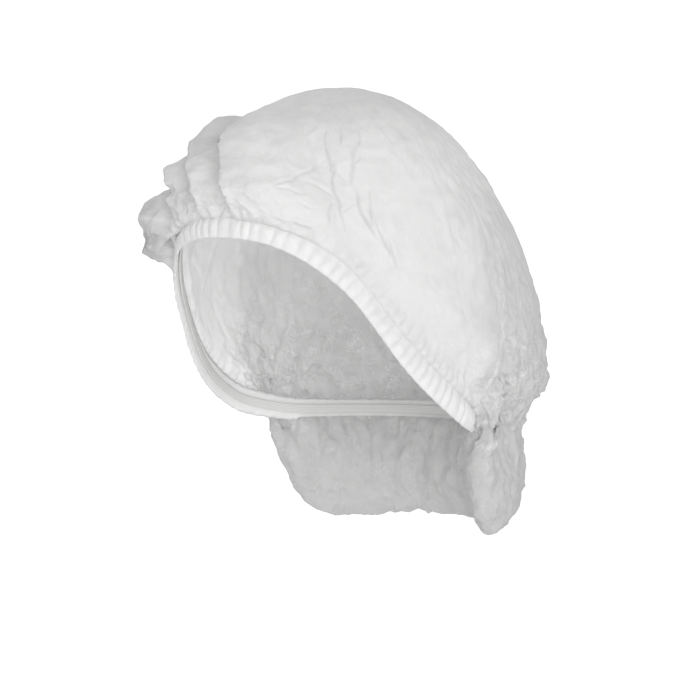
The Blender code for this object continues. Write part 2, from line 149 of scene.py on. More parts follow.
FOLDS = [
    Fold(30, 0.13, 40.5, 0.41, 0.8, -1.5, 1.5),
    Fold(33.5, 0.20, 36, 0.27, 1.2, -1.0, 1.2),
    Fold(45, 0.17, 44, 0.29, -2.0, -1.2, 1.4),
    Fold(44, 0.28, 51, 0.43, -1.2, -1.5, 1.5),
    Fold(43, 0.22, 47, 0.20, 0.0, -0.8, 1.1),
    Fold(49, 0.30, 49.5, 0.40, 0.8, -1.2, 1.2),
    Fold(51, 0.38, 59, 0.52, -1.0, -1.3, 1.5),
    Fold(54.5, 0.42, 55, 0.50, 0.5, -0.8, 1.1),
    Fold(28, 0.275, 37, 0.32, 1.5, -0.9, 1.3),
    Fold(32, 0.225, 42, 0.27, 1.5, -0.9, 1.3),
    Fold(18, 0.30, 31.5, 0.21, 1.5, -1.0, 1.4),
    Fold(21, 0.295, 28, 0.31, 0.0, -0.8, 1.2),
    Fold(37, 0.33, 34.5, 0.40, -0.5, -0.9, 1.2),
    Fold(39.5, 0.36, 43, 0.33, 0.0, -0.8, 1.1),
    Fold(37, 0.11, 40, 0.17, 0.0, -0.8, 1.2),
    Fold(27, 0.33, 33, 0.35, -0.5, -0.7, 1.2),
    Fold(24, 0.388, 31, 0.415, 0.4, -1.4, 1.4),
    Fold(-46, 0.372, -26, 0.385, 0.0, 1.4, 2.6),
    Fold(-43, 0.44, -28, 0.44, 0.0, -4.4, 11.0),
    Fold(-31, 0.24, -22, 0.33, 0.0, 0.9, 1.6),
    Fold(-33, 0.28, -20, 0.35, 0.0, -0.9, 1.4),
    Fold(-18, 0.20, -14, 0.30, 0.0, -0.8, 1.3),
    Fold(-13, 0.16, -9, 0.29, 0.0, 0.7, 1.6),
    Fold(50, 0.50, 73, 0.55, 0.0, -1.1, 5.5),
    Fold(94, 0.885, 105, 0.878, 0.0, 1.4, 1.3),
    Fold(105, 0.878, 117, 0.82, 2.0, 1.6, 1.4),
    Fold(99, 0.87, 101, 0.78, 1.0, 1.2, 1.2),
    Fold(103, 0.862, 112, 0.84, 0.0, 1.2, 1.2),
    Fold(105, 0.60, 102, 0.66, 0.8, 1.0, 1.0),
    Fold(101, 0.67, 103, 0.76, 0.4, 1.0, 1.0),
    Fold(112, 0.69, 109, 0.74, 0.6, 1.0, 1.0),
    Fold(118, 0.60, 114, 0.65, -0.6, 0.9, 1.0),
    Fold(104, 0.72, 112, 0.70, 0.0, -0.9, 1.3),
    Fold(98, 0.83, 106, 0.845, 0.0, -0.8, 1.3),
    Fold(108, 0.80, 116, 0.775, 0.0, -0.9, 1.3),
    Fold(110, 0.74, 116, 0.75, 0.0, 1.0, 1.0),
    Fold(101, 0.69, 105, 0.66, 0.0, 0.9, 1.0),
    Fold(47.5, 0.115, 45.5, 0.18, 0.0, -0.8, 1.5),
    Fold(76, 0.16, 83, 0.42, 1.5, -0.25, 3.0),
    Fold(88, 0.20, 91, 0.44, -1.5, -0.30, 3.0),
    Fold(97, 0.24, 100, 0.50, 1.5, -0.40, 2.8),
    Fold(95, 0.905, 104, 0.905, 0.0, 0.9, 1.5),
    Fold(97, 0.93, 106, 0.935, 0.0, 1.0, 1.5),
    Fold(99, 0.955, 118, 0.978, 0.0, 1.6, 2.3),
    Fold(118, 0.978, 132, 0.935, 0.0, 1.6, 2.5),
    Fold(100, 0.995, 134, 0.995, 0.0, -1.2, 3.0),
    Fold(113, 1.01, 108, 1.05, 0.0, 1.2, 1.8),
    Fold(118, 1.03, 124, 1.14, -2.0, -1.2, 2.2),
    Fold(128, 1.02, 131, 1.20, 1.0, 1.1, 2.4),
    Fold(139, 0.97, 148, 0.70, 1.5, 3.8, 4.9),
    Fold(150, 0.96, 152, 0.78, -1.0, 2.6, 3.5),
    Fold(158, 0.97, 165, 0.62, -2.0, 4.1, 5.4),
    Fold(170, 0.96, 168, 0.80, 1.0, 2.3, 3.2),
    Fold(178, 0.97, 184, 0.58, 2.0, 4.3, 5.7),
    Fold(191, 0.96, 188, 0.76, -1.0, 2.6, 3.5),
    Fold(201, 0.97, 196, 0.64, 1.5, 4.1, 5.4),
    Fold(212, 0.95, 214, 0.77, 1.0, 2.5, 3.4),
    Fold(222, 0.96, 213, 0.66, 1.5, 3.5, 4.6),
    Fold(236, 0.95, 228, 0.72, 0.0, 3.2, 4.3),
    Fold(247, 0.93, 240, 0.76, 0.0, 2.6, 3.8),
    Fold(256, 0.91, 246, 0.79, -1.0, 2.3, 3.2),
    Fold(144, 1.02, 141, 1.22, 1.0, 2.9, 4.3),
    Fold(160, 1.01, 163, 1.20, -1.0, 3.2, 4.9),
    Fold(175, 1.02, 172, 1.24, 1.0, 3.2, 4.6),
    Fold(190, 1.01, 194, 1.22, -1.0, 3.3, 5.1),
    Fold(206, 1.02, 203, 1.23, 1.0, 2.9, 4.3),
    Fold(221, 1.01, 224, 1.18, 0.0, 3.0, 4.6),
    Fold(236, 1.01, 232, 1.14, 0.0, 2.6, 4.1),
    Fold(145, 0.33, 160, 0.50, 2.0, -2.1, 5.1),
    Fold(205, 0.28, 214, 0.48, -2.0, -2.1, 5.4),
    Fold(178, 0.36, 183, 0.55, 1.0, -1.9, 4.5),
    Fold(232, 0.33, 226, 0.55, 2.0, -1.9, 4.5),
    Fold(-74, 0.36, -61, 0.53, 1.0, -1.3, 1.9),
    Fold(-66, 0.30, -58, 0.42, 0.0, -1.1, 1.8),
    Fold(-84, 0.44, -74, 0.62, -1.0, -0.9, 2.2),
]


class Rumple(NamedTuple):
    """How crumpled the cloth is round one azimuth."""

    azimuth: float
    gathers: float  # strength of the gathers that run up from the hem
    crumple: float  # strength of the sharp crumple near the hem
    reach: float  # how far the gathers run up from the hem, a share of their usual reach
    inner: float  # strength of the hem's inner row of ruches
    outer: float  # strength of its outer row


RUMPLES = [
    Rumple(-170, 1.60, 0.95, 1.70, 0.2, 1.0),
    Rumple(-130, 1.50, 1.05, 1.60, 0.3, 1.0),
    Rumple(-100, 1.00, 0.90, 1.20, 0.8, 1.0),
    Rumple(-75, 0.45, 0.30, 0.60, 1.0, 1.0),
    Rumple(-58, 0.60, 0.60, 0.60, 1.0, 0.9),
    Rumple(-46, 0.80, 0.55, 0.55, 0.8, 0.8),
    Rumple(-28, 1.10, 1.25, 0.70, 0.2, 0.7),
    Rumple(0, 1.10, 1.40, 0.70, 0.2, 0.6),
    Rumple(22, 0.60, 0.60, 0.55, 0.6, 0.8),
    Rumple(40, 0.20, 0.15, 0.40, 1.0, 1.0),
    Rumple(72, 0.25, 0.15, 0.40, 1.0, 1.0),
    Rumple(88, 0.55, 0.50, 0.80, 1.0, 1.0),
    Rumple(100, 1.00, 1.10, 1.20, 0.8, 1.0),
    Rumple(130, 1.45, 1.05, 1.50, 0.3, 1.0),
    Rumple(160, 1.60, 0.95, 1.70, 0.2, 1.0),
]


class Gather(NamedTuple):
    """One set of the gathers that run up from the hem."""

    merge: float  # how many ruches run into one gather
    far: float  # how far up it runs, in metres
    strength: float


GATHERS = [
    Gather(1.0, 0.0055, 1.0),
    Gather(2.1, 0.014, 1.0),
    Gather(4.2, 0.030, 1.0),
    Gather(8.0, 0.055, 0.8),
]


class Facet(NamedTuple):
    """One size of the crumple's facets, in metres."""

    width: float
    height: float
    strength: float
    seed: int


FACETS = [
    Facet(0.0140, 0.0210, 0.85, 80),
    Facet(0.0078, 0.0095, 0.65, 85),
    Facet(0.0046, 0.0046, 0.44, 90),
]


class Sag(NamedTuple):
    """One point of the nape fold's curve, from the hem's lower edge."""

    outwards: float  # a share of the fold's thickness
    down: float  # a share of its drop
    rise: float  # a share of the waist's rise


SAGS = [
    Sag(1.00, 0.00, 1.0),
    Sag(0.93, 0.35, 0.0),
    Sag(0.80, 0.84, 0.0),
    Sag(0.36, 1.00, 0.0),
    Sag(-0.10, 0.55, 0.0),
]


class Noise(NamedTuple):
    """One layer of smooth noise."""

    cell: float | tuple[float, float, float]  # size of its features, in metres
    height: float
    seed: int


class Slot(Enum):
    """The record's material slots."""

    CLOTH = "nonwoven"
    HEM = "nonwoven_hem"
    ELASTIC = "elastic"


def ease(value: Array) -> Array:
    """Ease from 0 to 1, flat at both ends."""
    value = np.clip(value, 0.0, 1.0)
    return value * value * (3.0 - 2.0 * value)


def rising(value: Array, start: float, end: float) -> Array:
    """Ease from 0 at a start to 1 at an end, which may be the smaller of the two."""
    return ease((value - start) / (end - start))


def between(value: Array, start: float, full: float, fading: float, end: float) -> Array:
    """Ease from 0 at a start up to 1, and back down to 0 at an end."""
    return rising(value, start, full) * rising(value, end, fading)


def bell(value: Array, width: float) -> Array:
    """A bell curve of a width, 1 at its middle."""
    return np.exp(-((value / width) ** 2))


def from_front(azimuths: Array) -> Array:
    """Azimuths as degrees from -180 to 180, 0 at the front and above 0 to the wearer's left."""
    return (azimuths + 180.0) % 360.0 - 180.0


def lengths_along(points: Array) -> Array:
    """Length from the first row of points to each, with the points' coordinates last."""
    steps = np.linalg.norm(np.diff(points, axis=0), axis=-1)
    return np.concatenate([np.zeros_like(steps[:1]), np.cumsum(steps, axis=0)])


def hermite(
    here: Array,
    leaving: Array,
    there: Array,
    arriving: Array,
    share: Array | float,
) -> Array:
    """Read a cubic curve between two places.

    Args:
        here: Where the curve starts.
        leaving: Its slope there, for a share of 1.
        there: Where it ends.
        arriving: Its slope there.
        share: The share of the way, from 0 to 1.

    Returns:
        The curve's value at the share.
    """
    square = share * share
    cube = square * share
    return (
        (2 * cube - 3 * square + 1) * here
        + (cube - 2 * square + share) * leaving
        + (3 * square - 2 * cube) * there
        + (cube - square) * arriving
    )


def read_table(rows: list[NamedTuple], azimuths: Array) -> dict[str, Array]:
    """Read a table of azimuths with a closed cubic curve through its rows.

    Args:
        rows: The table, its first column an azimuth in degrees that grows from row to row.
        azimuths: Azimuths to read it at.

    Returns:
        For the name of each column but the azimuth's, its value at each azimuth.
    """
    table = np.array(rows, dtype=float)
    count = len(table)
    turned = (azimuths - table[0, 0]) % 360.0 + table[0, 0]
    place = np.searchsorted(table[:, 0], turned, side="right") - 1
    near = []
    for step in (-1, 0, 1, 2):
        found = table[(place + step) % count].copy()
        found[:, 0] += 360.0 * ((place + step) // count)
        near.append(found)
    before, here, there, after = near
    run = there[:, :1] - here[:, :1]
    leaving = (there - before) / (there[:, :1] - before[:, :1]) * run
    arriving = (after - here) / (after[:, :1] - here[:, :1]) * run
    leaving[(there - here) * (here - before) <= 0] = 0.0
    arriving[(after - there) * (there - here) <= 0] = 0.0
    share = (turned[:, None] - here[:, :1]) / run
    found = hermite(here, leaving, there, arriving, share)
    return dict(zip(rows[0]._fields[1:], found.T[1:]))


def chances(number: Array, seed: int) -> Array:
    """Hash whole-numbered cells.

    Args:
        number: The cells, with their three whole numbers last.
        seed: Which set of values they get.

    Returns:
        A fixed random value from -1 to 1 for each cell.
    """
    mixed = number[..., 0] * 73856093 ^ number[..., 1] * 19349663 ^ number[..., 2] * 83492791
    mixed = (mixed ^ (seed * 2654435761)) & 0x7FFFFFFF
    mixed = ((mixed ^ (mixed >> 13)) * 1274126177) & 0x7FFFFFFF
    mixed = ((mixed ^ (mixed >> 16)) * 1103515245) & 0x7FFFFFFF
    return mixed / 0x3FFFFFFF - 1.0


def scatter(places: Array, cell: float | tuple[float, float, float], seed: int) -> Array:
    """Smooth noise from -1 to 1.

    Args:
        places: Points, with their three coordinates last.
        cell: Size of the noise's features, or one size for each coordinate.
        seed: Which noise it is.

    Returns:
        One value for each point.
    """
    scaled = places / np.asarray(cell)
    corner = np.floor(scaled).astype(np.int64)
    part = ease(scaled - corner)
    total = np.zeros(places.shape[:-1])
    for step in itertools.product((0, 1), repeat=3):
        weight = np.prod(np.where(np.array(step) == 1, part, 1.0 - part), axis=-1)
        total += weight * chances(corner + np.array(step), seed)
    return total


def noise(places: Array, *layers: Noise) -> Array:
    """Layers of smooth noise on top of one another."""
    return sum(layer.height * scatter(places, layer.cell, layer.seed) for layer in layers)


def facets(places: Array, cell: float | tuple[float, float, float], seed: int) -> Array:
    """Part space into irregular facets, as crumpled paper has.

    Args:
        places: Points, with their three coordinates last.
        cell: Size of the facets, or one size for each coordinate.
        seed: Which facets they are.

    Returns:
        How far each point is from a facet's border, in cells and 0 on the border.
    """
    scaled = places / np.asarray(cell)
    corner = np.floor(scaled).astype(np.int64)
    nearest = np.full(places.shape[:-1], 9.0)
    second = nearest.copy()
    for step in itertools.product((-1, 0, 1), repeat=3):
        number = corner + np.array(step)
        spot = np.stack([chances(number, seed + axis) for axis in range(3)], axis=-1)
        apart = np.linalg.norm(scaled - number - 0.5 - spot * 0.48, axis=-1)
        second = np.minimum(second, np.maximum(apart, nearest))
        nearest = np.minimum(nearest, apart)
    return second - nearest


def dented(border: Array, rim: float = 0.20, floor: float = 0.60) -> Array:
    """Relief of flat dents with sharp rims, from how far each point is from a facet's border."""
    return rim - np.minimum(border, floor)


def turned_out(azimuths: Array, reach: Array, depth: Array) -> Array:
    """Places in space from azimuths in degrees, distances from the axis and depths."""
    angle = np.radians(azimuths)
    return np.stack([reach * np.sin(angle), -reach * np.cos(angle), -depth + 0.0 * reach], axis=-1)


@dataclass(frozen=True)
class WornForm:
    """The worn cap's form, which the frame's solids have and every piece follows."""

    head_half_width: float = 0.079
    head_half_length: float = 0.096
    nape_depth: float = 0.176  # from the crown's top to the hem at the nape
    bag_slack: float = 0.022  # how far the bag stands off the head where a section's slack is 1
    fan_reach: float = 0.027  # how far the forehead's pleats stand off where their reach is 1
    fan_blade: float = 13.0  # a pleat's width, in degrees
    blade_back: float = 0.26  # width of a pleat's steep side, a share of the pleat's
    lobe_drop: float = 0.053  # how far the lobe hangs below the hem where a section's droop is 1
    lobe_span: float = 0.031  # its thickness where a section's span is 1
    lobe_turn: float = 1.4  # how fast the skirt turns into the lobe as its droop grows
    waist_rise: float = 0.003
    seam_run: float = 0.006  # how far the crown runs straight before it meets the hem
    hem_height: float = 0.017
    hem_wall: float = 0.0012
    rib_depth: float = 0.0030
    rib_pitch: float = 0.0059
    elastic_width: float = 0.005
    elastic_thickness: float = 0.001
    seam_gap: float = 0.0003  # between the casing and the elastic
    tuck: float = 0.0011  # how far the crown goes on past the hem's edge
    nestle: float = 0.55  # how far off the hem the crown crosses it, a share of its ruches' depth
    seam_corner: float = 0.35  # exponent that squares the seam's way round the hem
    dome_end: float = 0.30  # depth where the dome becomes the skirt, a share of the seam's
    dome_end_rise: float = 0.44  # and how much deeper that is for a hem at the nape's depth
    dome_end_lobe: float = 0.09  # and over the lobe
    bend_step: float = 0.10  # how far above its end its slope is read, a share of its depth
    start_step: float = 0.02  # and how far for the way the skirt sets out
    dome_points: int = 61  # how many points the dome's line has
    knot_points: int = 24  # and the skirt's from one knot to the next

    def sections(self, azimuths: Array) -> dict[str, Array]:
        """Read the section table at each azimuth, as one array for each column's name."""
        return read_table(SECTIONS, azimuths)

    def head_reach(self, azimuths: Array) -> Array:
        """Distance from the axis to the head's widest outline."""
        across, along = np.sin(np.radians(azimuths)), np.cos(np.radians(azimuths))
        return 1.0 / np.hypot(across / self.head_half_width, along / self.head_half_length)

    def hem_frame(self, azimuths: Array) -> tuple[Array, Array, Array]:
        """Find the hem at each azimuth.

        Args:
            azimuths: Azimuths in degrees.

        Returns:
            The middle of the hem's height as (reach, depth), and its directions up and out.
        """
        section = self.sections(azimuths)
        lean = np.radians(section["lean"])
        up = np.stack([-np.sin(lean), -np.cos(lean)], axis=-1)
        out = np.stack([np.cos(lean), -np.sin(lean)], axis=-1)
        reach = self.head_reach(azimuths) * section["grip"]
        foot = np.stack([reach, self.nape_depth * section["hem"]], axis=-1)
        return foot + up * (self.hem_height * section["height"] / 2)[:, None], up, out

    def hem_places(self, azimuths: Array, height: Array, off: Array) -> Array:
        """Find places on the hem.

        Args:
            azimuths: Azimuths in degrees.
            height: How far above the hem's middle each place is.
            off: How far outwards from there.

        Returns:
            The places, with their three coordinates last.
        """
        middle, up, out = self.hem_frame(azimuths)
        point = middle + up * height[..., None] + out * off[..., None]
        return turned_out(azimuths, point[..., 0], point[..., 1])

    def hem_ring(self, azimuths: Array) -> Array:
        """The middle of the hem at each azimuth, as places."""
        return self.hem_places(azimuths, np.zeros_like(azimuths), np.zeros_like(azimuths))

    def seam(self, azimuths: Array) -> tuple[Array, Array]:
        """Find where the crown meets the hem.

        Args:
            azimuths: Azimuths in degrees.

        Returns:
            The seam as (reach, depth), and the way the crown leaves it.
        """
        section = self.sections(azimuths)
        middle, up, out = self.hem_frame(azimuths)
        angle = np.pi * (0.5 - section["under"])[:, None]
        half_height = (self.hem_height * section["height"] / 2)[:, None]
        half_depth = self.rib_depth + self.hem_wall / 2
        beside = np.maximum(np.cos(angle), 0.0) ** self.seam_corner * half_depth * self.nestle
        nose = middle + up * (np.sin(angle) * half_height) + out * beside
        away = up * (np.sin(angle) * half_depth) + out * (np.cos(angle) * half_height)
        away /= np.linalg.norm(away, axis=-1, keepdims=True)
        return nose - away * self.tuck, away

    def meridians(self, azimuths: Array) -> tuple[Array, Array]:
        """Draw the crown's line from the top to the seam.

        Args:
            azimuths: Azimuths in degrees.

        Returns:
            The lines of its dome and of its skirt, as (reach, depth) by azimuth and place.
        """
        section = self.sections(azimuths)
        seam, away = self.seam(azimuths)
        belly_reach = self.head_reach(azimuths) + self.bag_slack * section["slack"]
        belly_depth = self.nape_depth * section["belly"]
        fullness = section["fullness"]
        weight = ease(section["droop"] * self.lobe_turn)
        dome_end = self.dome_end + self.dome_end_rise * section["hem"]
        dome_end += self.dome_end_lobe * weight
        turn_depth = np.minimum(belly_depth, seam[:, 1] * dome_end)

        def dome(depth: Array) -> Array:
            """The dome's place at a depth for each azimuth."""
            share = 1.0 - (1.0 - depth / belly_depth) ** fullness
            return np.stack([belly_reach * share ** (1.0 / fullness), depth], axis=-1)

        steps = 1.0 - np.cos(np.linspace(0.0, math.pi / 2, self.dome_points))
        line = np.stack([dome(turn_depth * step) for step in steps], axis=1)
        turn = dome(turn_depth)
        approach = seam + away * self.seam_run
        chord = np.linalg.norm(approach - turn, axis=-1, keepdims=True)
        tangent = turn - dome(turn_depth * (1.0 - self.bend_step))
        tangent *= chord / np.linalg.norm(tangent, axis=-1, keepdims=True)
        foot = np.stack(
            [self.head_reach(azimuths) * section["grip"], self.nape_depth * section["hem"]], axis=-1
        )
        span = self.lobe_span * section["span"]
        drop = self.lobe_drop * section["droop"]
        knots = [turn]
        for index, sag in enumerate(SAGS):
            share = (index + 1) / (len(SAGS) + 1)
            plain = hermite(turn, tangent, approach, -away * chord, share)
            hanging = foot + np.stack(
                [span * sag.outwards, drop * sag.down - self.waist_rise * sag.rise], axis=-1
            )
            knots.append(plain + (hanging - plain) * weight[:, None])
        start = turn - dome(turn_depth * (1.0 - self.start_step))
        return line, curve_through([*knots, approach, seam], start, self.knot_points)


def curve_through(knots: list[Array], start: Array, steps: int) -> Array:
    """Points of smooth curves through knots.

    Args:
        knots: The knots, each an array with a row for each of the curves.
        start: The way each curve sets out.
        steps: How many points there are from one knot to the next.

    Returns:
        The points, by curve.
    """
    start = start / np.linalg.norm(start, axis=-1, keepdims=True)
    start = start * np.linalg.norm(knots[1] - knots[0], axis=-1, keepdims=True)
    ends = [knots[0] - start, *knots, knots[-1] * 2 - knots[-2]]
    points = []
    for before, here, there, after in zip(ends, ends[1:], ends[2:], ends[3:]):
        first, run, last = (
            np.sqrt(np.linalg.norm(b - a, axis=-1, keepdims=True))
            for a, b in ((before, here), (here, there), (there, after))
        )
        between = (there - here) / run
        leaving = ((here - before) / first - (there - before) / (first + run) + between) * run
        leaving = leaving if points else start
        arriving = (between - (after - here) / (run + last) + (after - there) / last) * run
        for step in range(steps):
            points.append(hermite(here, leaving, there, arriving, step / steps))
    return np.stack([*points, knots[-1]], axis=1)


def evenly_along(lines: Array, shares: Array) -> Array:
    """Read each of several polylines at shares of its own length.

    Args:
        lines: The polylines, by line and place along it, as (reach, depth).
        shares: The shares, from 0 to 1.

    Returns:
        The points, by line and share.
    """
    found = np.empty((len(lines), len(shares), 2))
    for index, line in enumerate(lines):
        lengths = lengths_along(line)
        for axis in (0, 1):
            found[index, :, axis] = np.interp(shares * lengths[-1], lengths, line[:, axis])
    return found


@dataclass
class HemRhythm:
    """The ruches' rhythm along the hem, which the casing and the crown's gathers share."""

    form: WornForm
    drift: float = 0.32  # how unevenly the ruches are spaced, in ruches
    drift_cell: float = 0.11  # how soon that changes, on a ring of radius 1
    low: float = 0.60  # height of the lowest ruches, a share of the tallest's
    seed: int = 11
    spots: int = 1441  # how many places round the hem are measured
    ribs: int = field(init=False)
    table: Array = field(init=False)
    tall: Array = field(init=False)
    lean: Array = field(init=False)
    square: Array = field(init=False)

    def __post_init__(self) -> None:
        """Measure the hem and share it out in ruches."""
        azimuths = np.linspace(0.0, 360.0, self.spots)
        ring = self.form.hem_ring(azimuths)
        lengths = lengths_along(ring)
        self.ribs = round(lengths[-1] / self.form.rib_pitch)
        self.table = np.stack([azimuths, lengths / lengths[-1] * self.ribs])
        chance = np.random.default_rng(self.seed)
        self.tall = chance.uniform(self.low, 1.0, self.ribs * 4)
        reach = np.hypot(ring[:, 0], ring[:, 1])
        rise = np.gradient(ring[:, 2]) / (np.radians(azimuths[1]) * reach)
        slope = np.arctan(-rise)
        self.lean = np.degrees(np.sin(slope) * np.cos(slope) / reach)
        self.square = np.cos(slope)

    def upright(self, azimuths: Array, above: Array) -> Array:
        """Where points lie in ruches, square to the hem, at a height above its lower edge."""
        turned = np.broadcast_to(azimuths, above.shape) % 360.0
        return self.phase(turned - above * np.interp(turned, self.table[0], self.lean))

    def squared(self, azimuths: Array, above: Array) -> Array:
        """How far points are from the hem, square to it, at a height above it."""
        return above * np.interp(azimuths, self.table[0], self.square)

    def phase(self, azimuths: Array) -> Array:
        """Count ruches round the hem.

        Args:
            azimuths: Azimuths in degrees.

        Returns:
            How many ruches lie before each azimuth, from the front.
        """
        even = np.interp(azimuths % 360.0, self.table[0], self.table[1])
        ring = turned_out(azimuths, np.ones_like(azimuths), np.zeros_like(azimuths))
        return even + noise(ring, Noise(self.drift_cell, self.drift, self.seed))

    def puffs(self, phase: Array, roundness: float, family: int) -> Array:
        """Heights of round ruches with sharp valleys between them.

        Args:
            phase: Where each point lies, in ruches.
            roundness: Exponent of a ruche's profile, smaller for a rounder one.
            family: Which set of random heights the ruches have.

        Returns:
            Heights from 0 in a valley to 1 on the tallest ruches.
        """
        number = np.floor(phase).astype(int) % self.ribs
        height = self.tall[(number + family * self.ribs) % len(self.tall)]
        return height * np.abs(np.sin(np.pi * phase)) ** roundness


def bent_grid(places: Array, cloth: Array, closed_down: bool) -> tuple[bmesh.types.BMesh, Array]:
    """Bend a grid to places in space and close it round the cap.

    Args:
        places: Points by row and column; the column after the last is the first again.
        cloth: Two lengths in the cloth for each point, with one more column than places.
        closed_down: Whether the row after the last is the first again. Otherwise the first row is
            one point, the top of the cap.

    Returns:
        The mesh, with the two lengths in its UV layer "cloth", and the number of each point's
        vertex in it.
    """
    rows, columns = places.shape[:2]
    down = rows if closed_down else rows - 1
    mesh = bmesh.new()
    bmesh.ops.create_grid(mesh, x_segments=columns, y_segments=down, size=0.5)
    layer = mesh.loops.layers.uv.new("cloth")
    spot = {}
    for vert in mesh.verts:
        spot[vert] = (round((0.5 - vert.co.y) * down), round((vert.co.x + 0.5) * columns))
    for face in mesh.faces:
        for loop in face.loops:
            loop[layer].uv = cloth[spot[loop.vert]]
    at = {place: vert for vert, place in spot.items()}
    kept, welds = {}, {}
    for (row, column), vert in at.items():
        target = at[row % rows, column % columns if row or closed_down else 0]
        vert.co = places[row % rows, column % columns]
        if target is vert:
            kept[vert] = (row, column)
        else:
            welds[vert] = target
    bmesh.ops.weld_verts(mesh, targetmap=welds)
    mesh.verts.index_update()
    numbers = np.zeros((rows, columns), dtype=np.int64)
    for vert, place in kept.items():
        numbers[place] = vert.index
    if not closed_down:
        numbers[0] = numbers[0, 0]
    return mesh, numbers


def make_piece(
    name: str, mesh: bmesh.types.BMesh, material: bpy.types.Material
) -> bpy.types.Object:
    """Make a mesh a smooth object of the scene, at the origin.

    Args:
        name: The object's name.
        mesh: The mesh, which is used up.
        material: Its material.

    Returns:
        The object.
    """
    data = bpy.data.meshes.new(name)
    mesh.to_mesh(data)
    mesh.free()
    data.shade_smooth()
    data.materials.append(material)
    piece = bpy.data.objects.new(name, data)
    bpy.context.scene.collection.objects.link(piece)
    return piece


def mark(piece: bpy.types.Object, name: str, numbers: Array, values: Array) -> None:
    """Give a piece's points a value each, for its material.

    Args:
        piece: The piece.
        name: The value's name.
        numbers: The number of each value's point.
        values: The values.
    """
    layer = piece.data.attributes.new(name, "FLOAT", "POINT")
    given = np.zeros(len(piece.data.vertices), dtype=np.float32)
    given[numbers] = values
    layer.data.foreach_set("value", given)


class Graph:
    """A node tree being wired, with short calls for the nodes that finishes use."""

    def __init__(self, tree: bpy.types.NodeTree) -> None:
        """Work on a tree."""
        self.tree = tree

    def node(self, kind: str, **values: object) -> bpy.types.Node:
        """Add a node.

        Args:
            kind: Its type after "ShaderNode", such as "Math".
            values: Its settings, and its inputs' values or links with "_" for spaces.

        Returns:
            The node.
        """
        made = self.tree.nodes.new(f"ShaderNode{kind}")
        for key, value in values.items():
            if hasattr(made, key):
                setattr(made, key, value)
                continue
            self.feed(made.inputs[key.replace("_", " ")], value)
        return made

    def feed(self, socket: Socket, value: object) -> None:
        """Link a socket to another, or set its value.

        Args:
            socket: The socket.
            value: The socket to link it to, or its value.
        """
        if isinstance(value, Socket):
            self.tree.links.new(value, socket)
        else:
            socket.default_value = value

    def math(self, operation: str, *terms: object) -> Socket:
        """Work out a number.

        Args:
            operation: What is done, such as "ADD".
            terms: Up to three numbers or links.

        Returns:
            The result.
        """
        made = self.node("Math", operation=operation)
        for socket, term in zip(made.inputs, terms):
            self.feed(socket, term)
        return made.outputs[0]

    def spread(self, value: object, given: Span, becomes: Span) -> Socket:
        """Map a range of a number smoothly on to another range.

        Args:
            value: The number.
            given: Its range.
            becomes: What the range's two ends become.

        Returns:
            The mapped number.
        """
        made = self.node("MapRange", interpolation_type="SMOOTHSTEP", Value=value)
        names = ("From Min", "From Max", "To Min", "To Max")
        for name, end in zip(names, (*given, *becomes)):
            self.feed(made.inputs[name], end)
        return made.outputs[0]

    def mix(self, factor: object, first: object, second: object, blend: str = "MIX") -> Socket:
        """Mix two colours.

        Args:
            factor: How much of the second there is.
            first: The first colour.
            second: The second.
            blend: How the second is laid on the first.

        Returns:
            The mixed colour.
        """
        made = self.node("Mix", data_type="RGBA", blend_type=blend)
        for number, value in ((0, factor), (6, first), (7, second)):
            self.feed(made.inputs[number], value)
        return made.outputs[2]

    def bump(
        self, height: object, distance: float, strength: float, normal: object = None
    ) -> Socket:
        """Raise a surface by a height.

        Args:
            height: The height, from 0 to 1.
            distance: What a height of 1 is, in metres.
            strength: How much of it shows.
            normal: The bump under this one, where there is one.

        Returns:
            The bumped normal.
        """
        made = self.node("Bump", Height=height, Distance=distance, Strength=strength)
        if normal is not None:
            self.feed(made.inputs["Normal"], normal)
        return made.outputs[0]


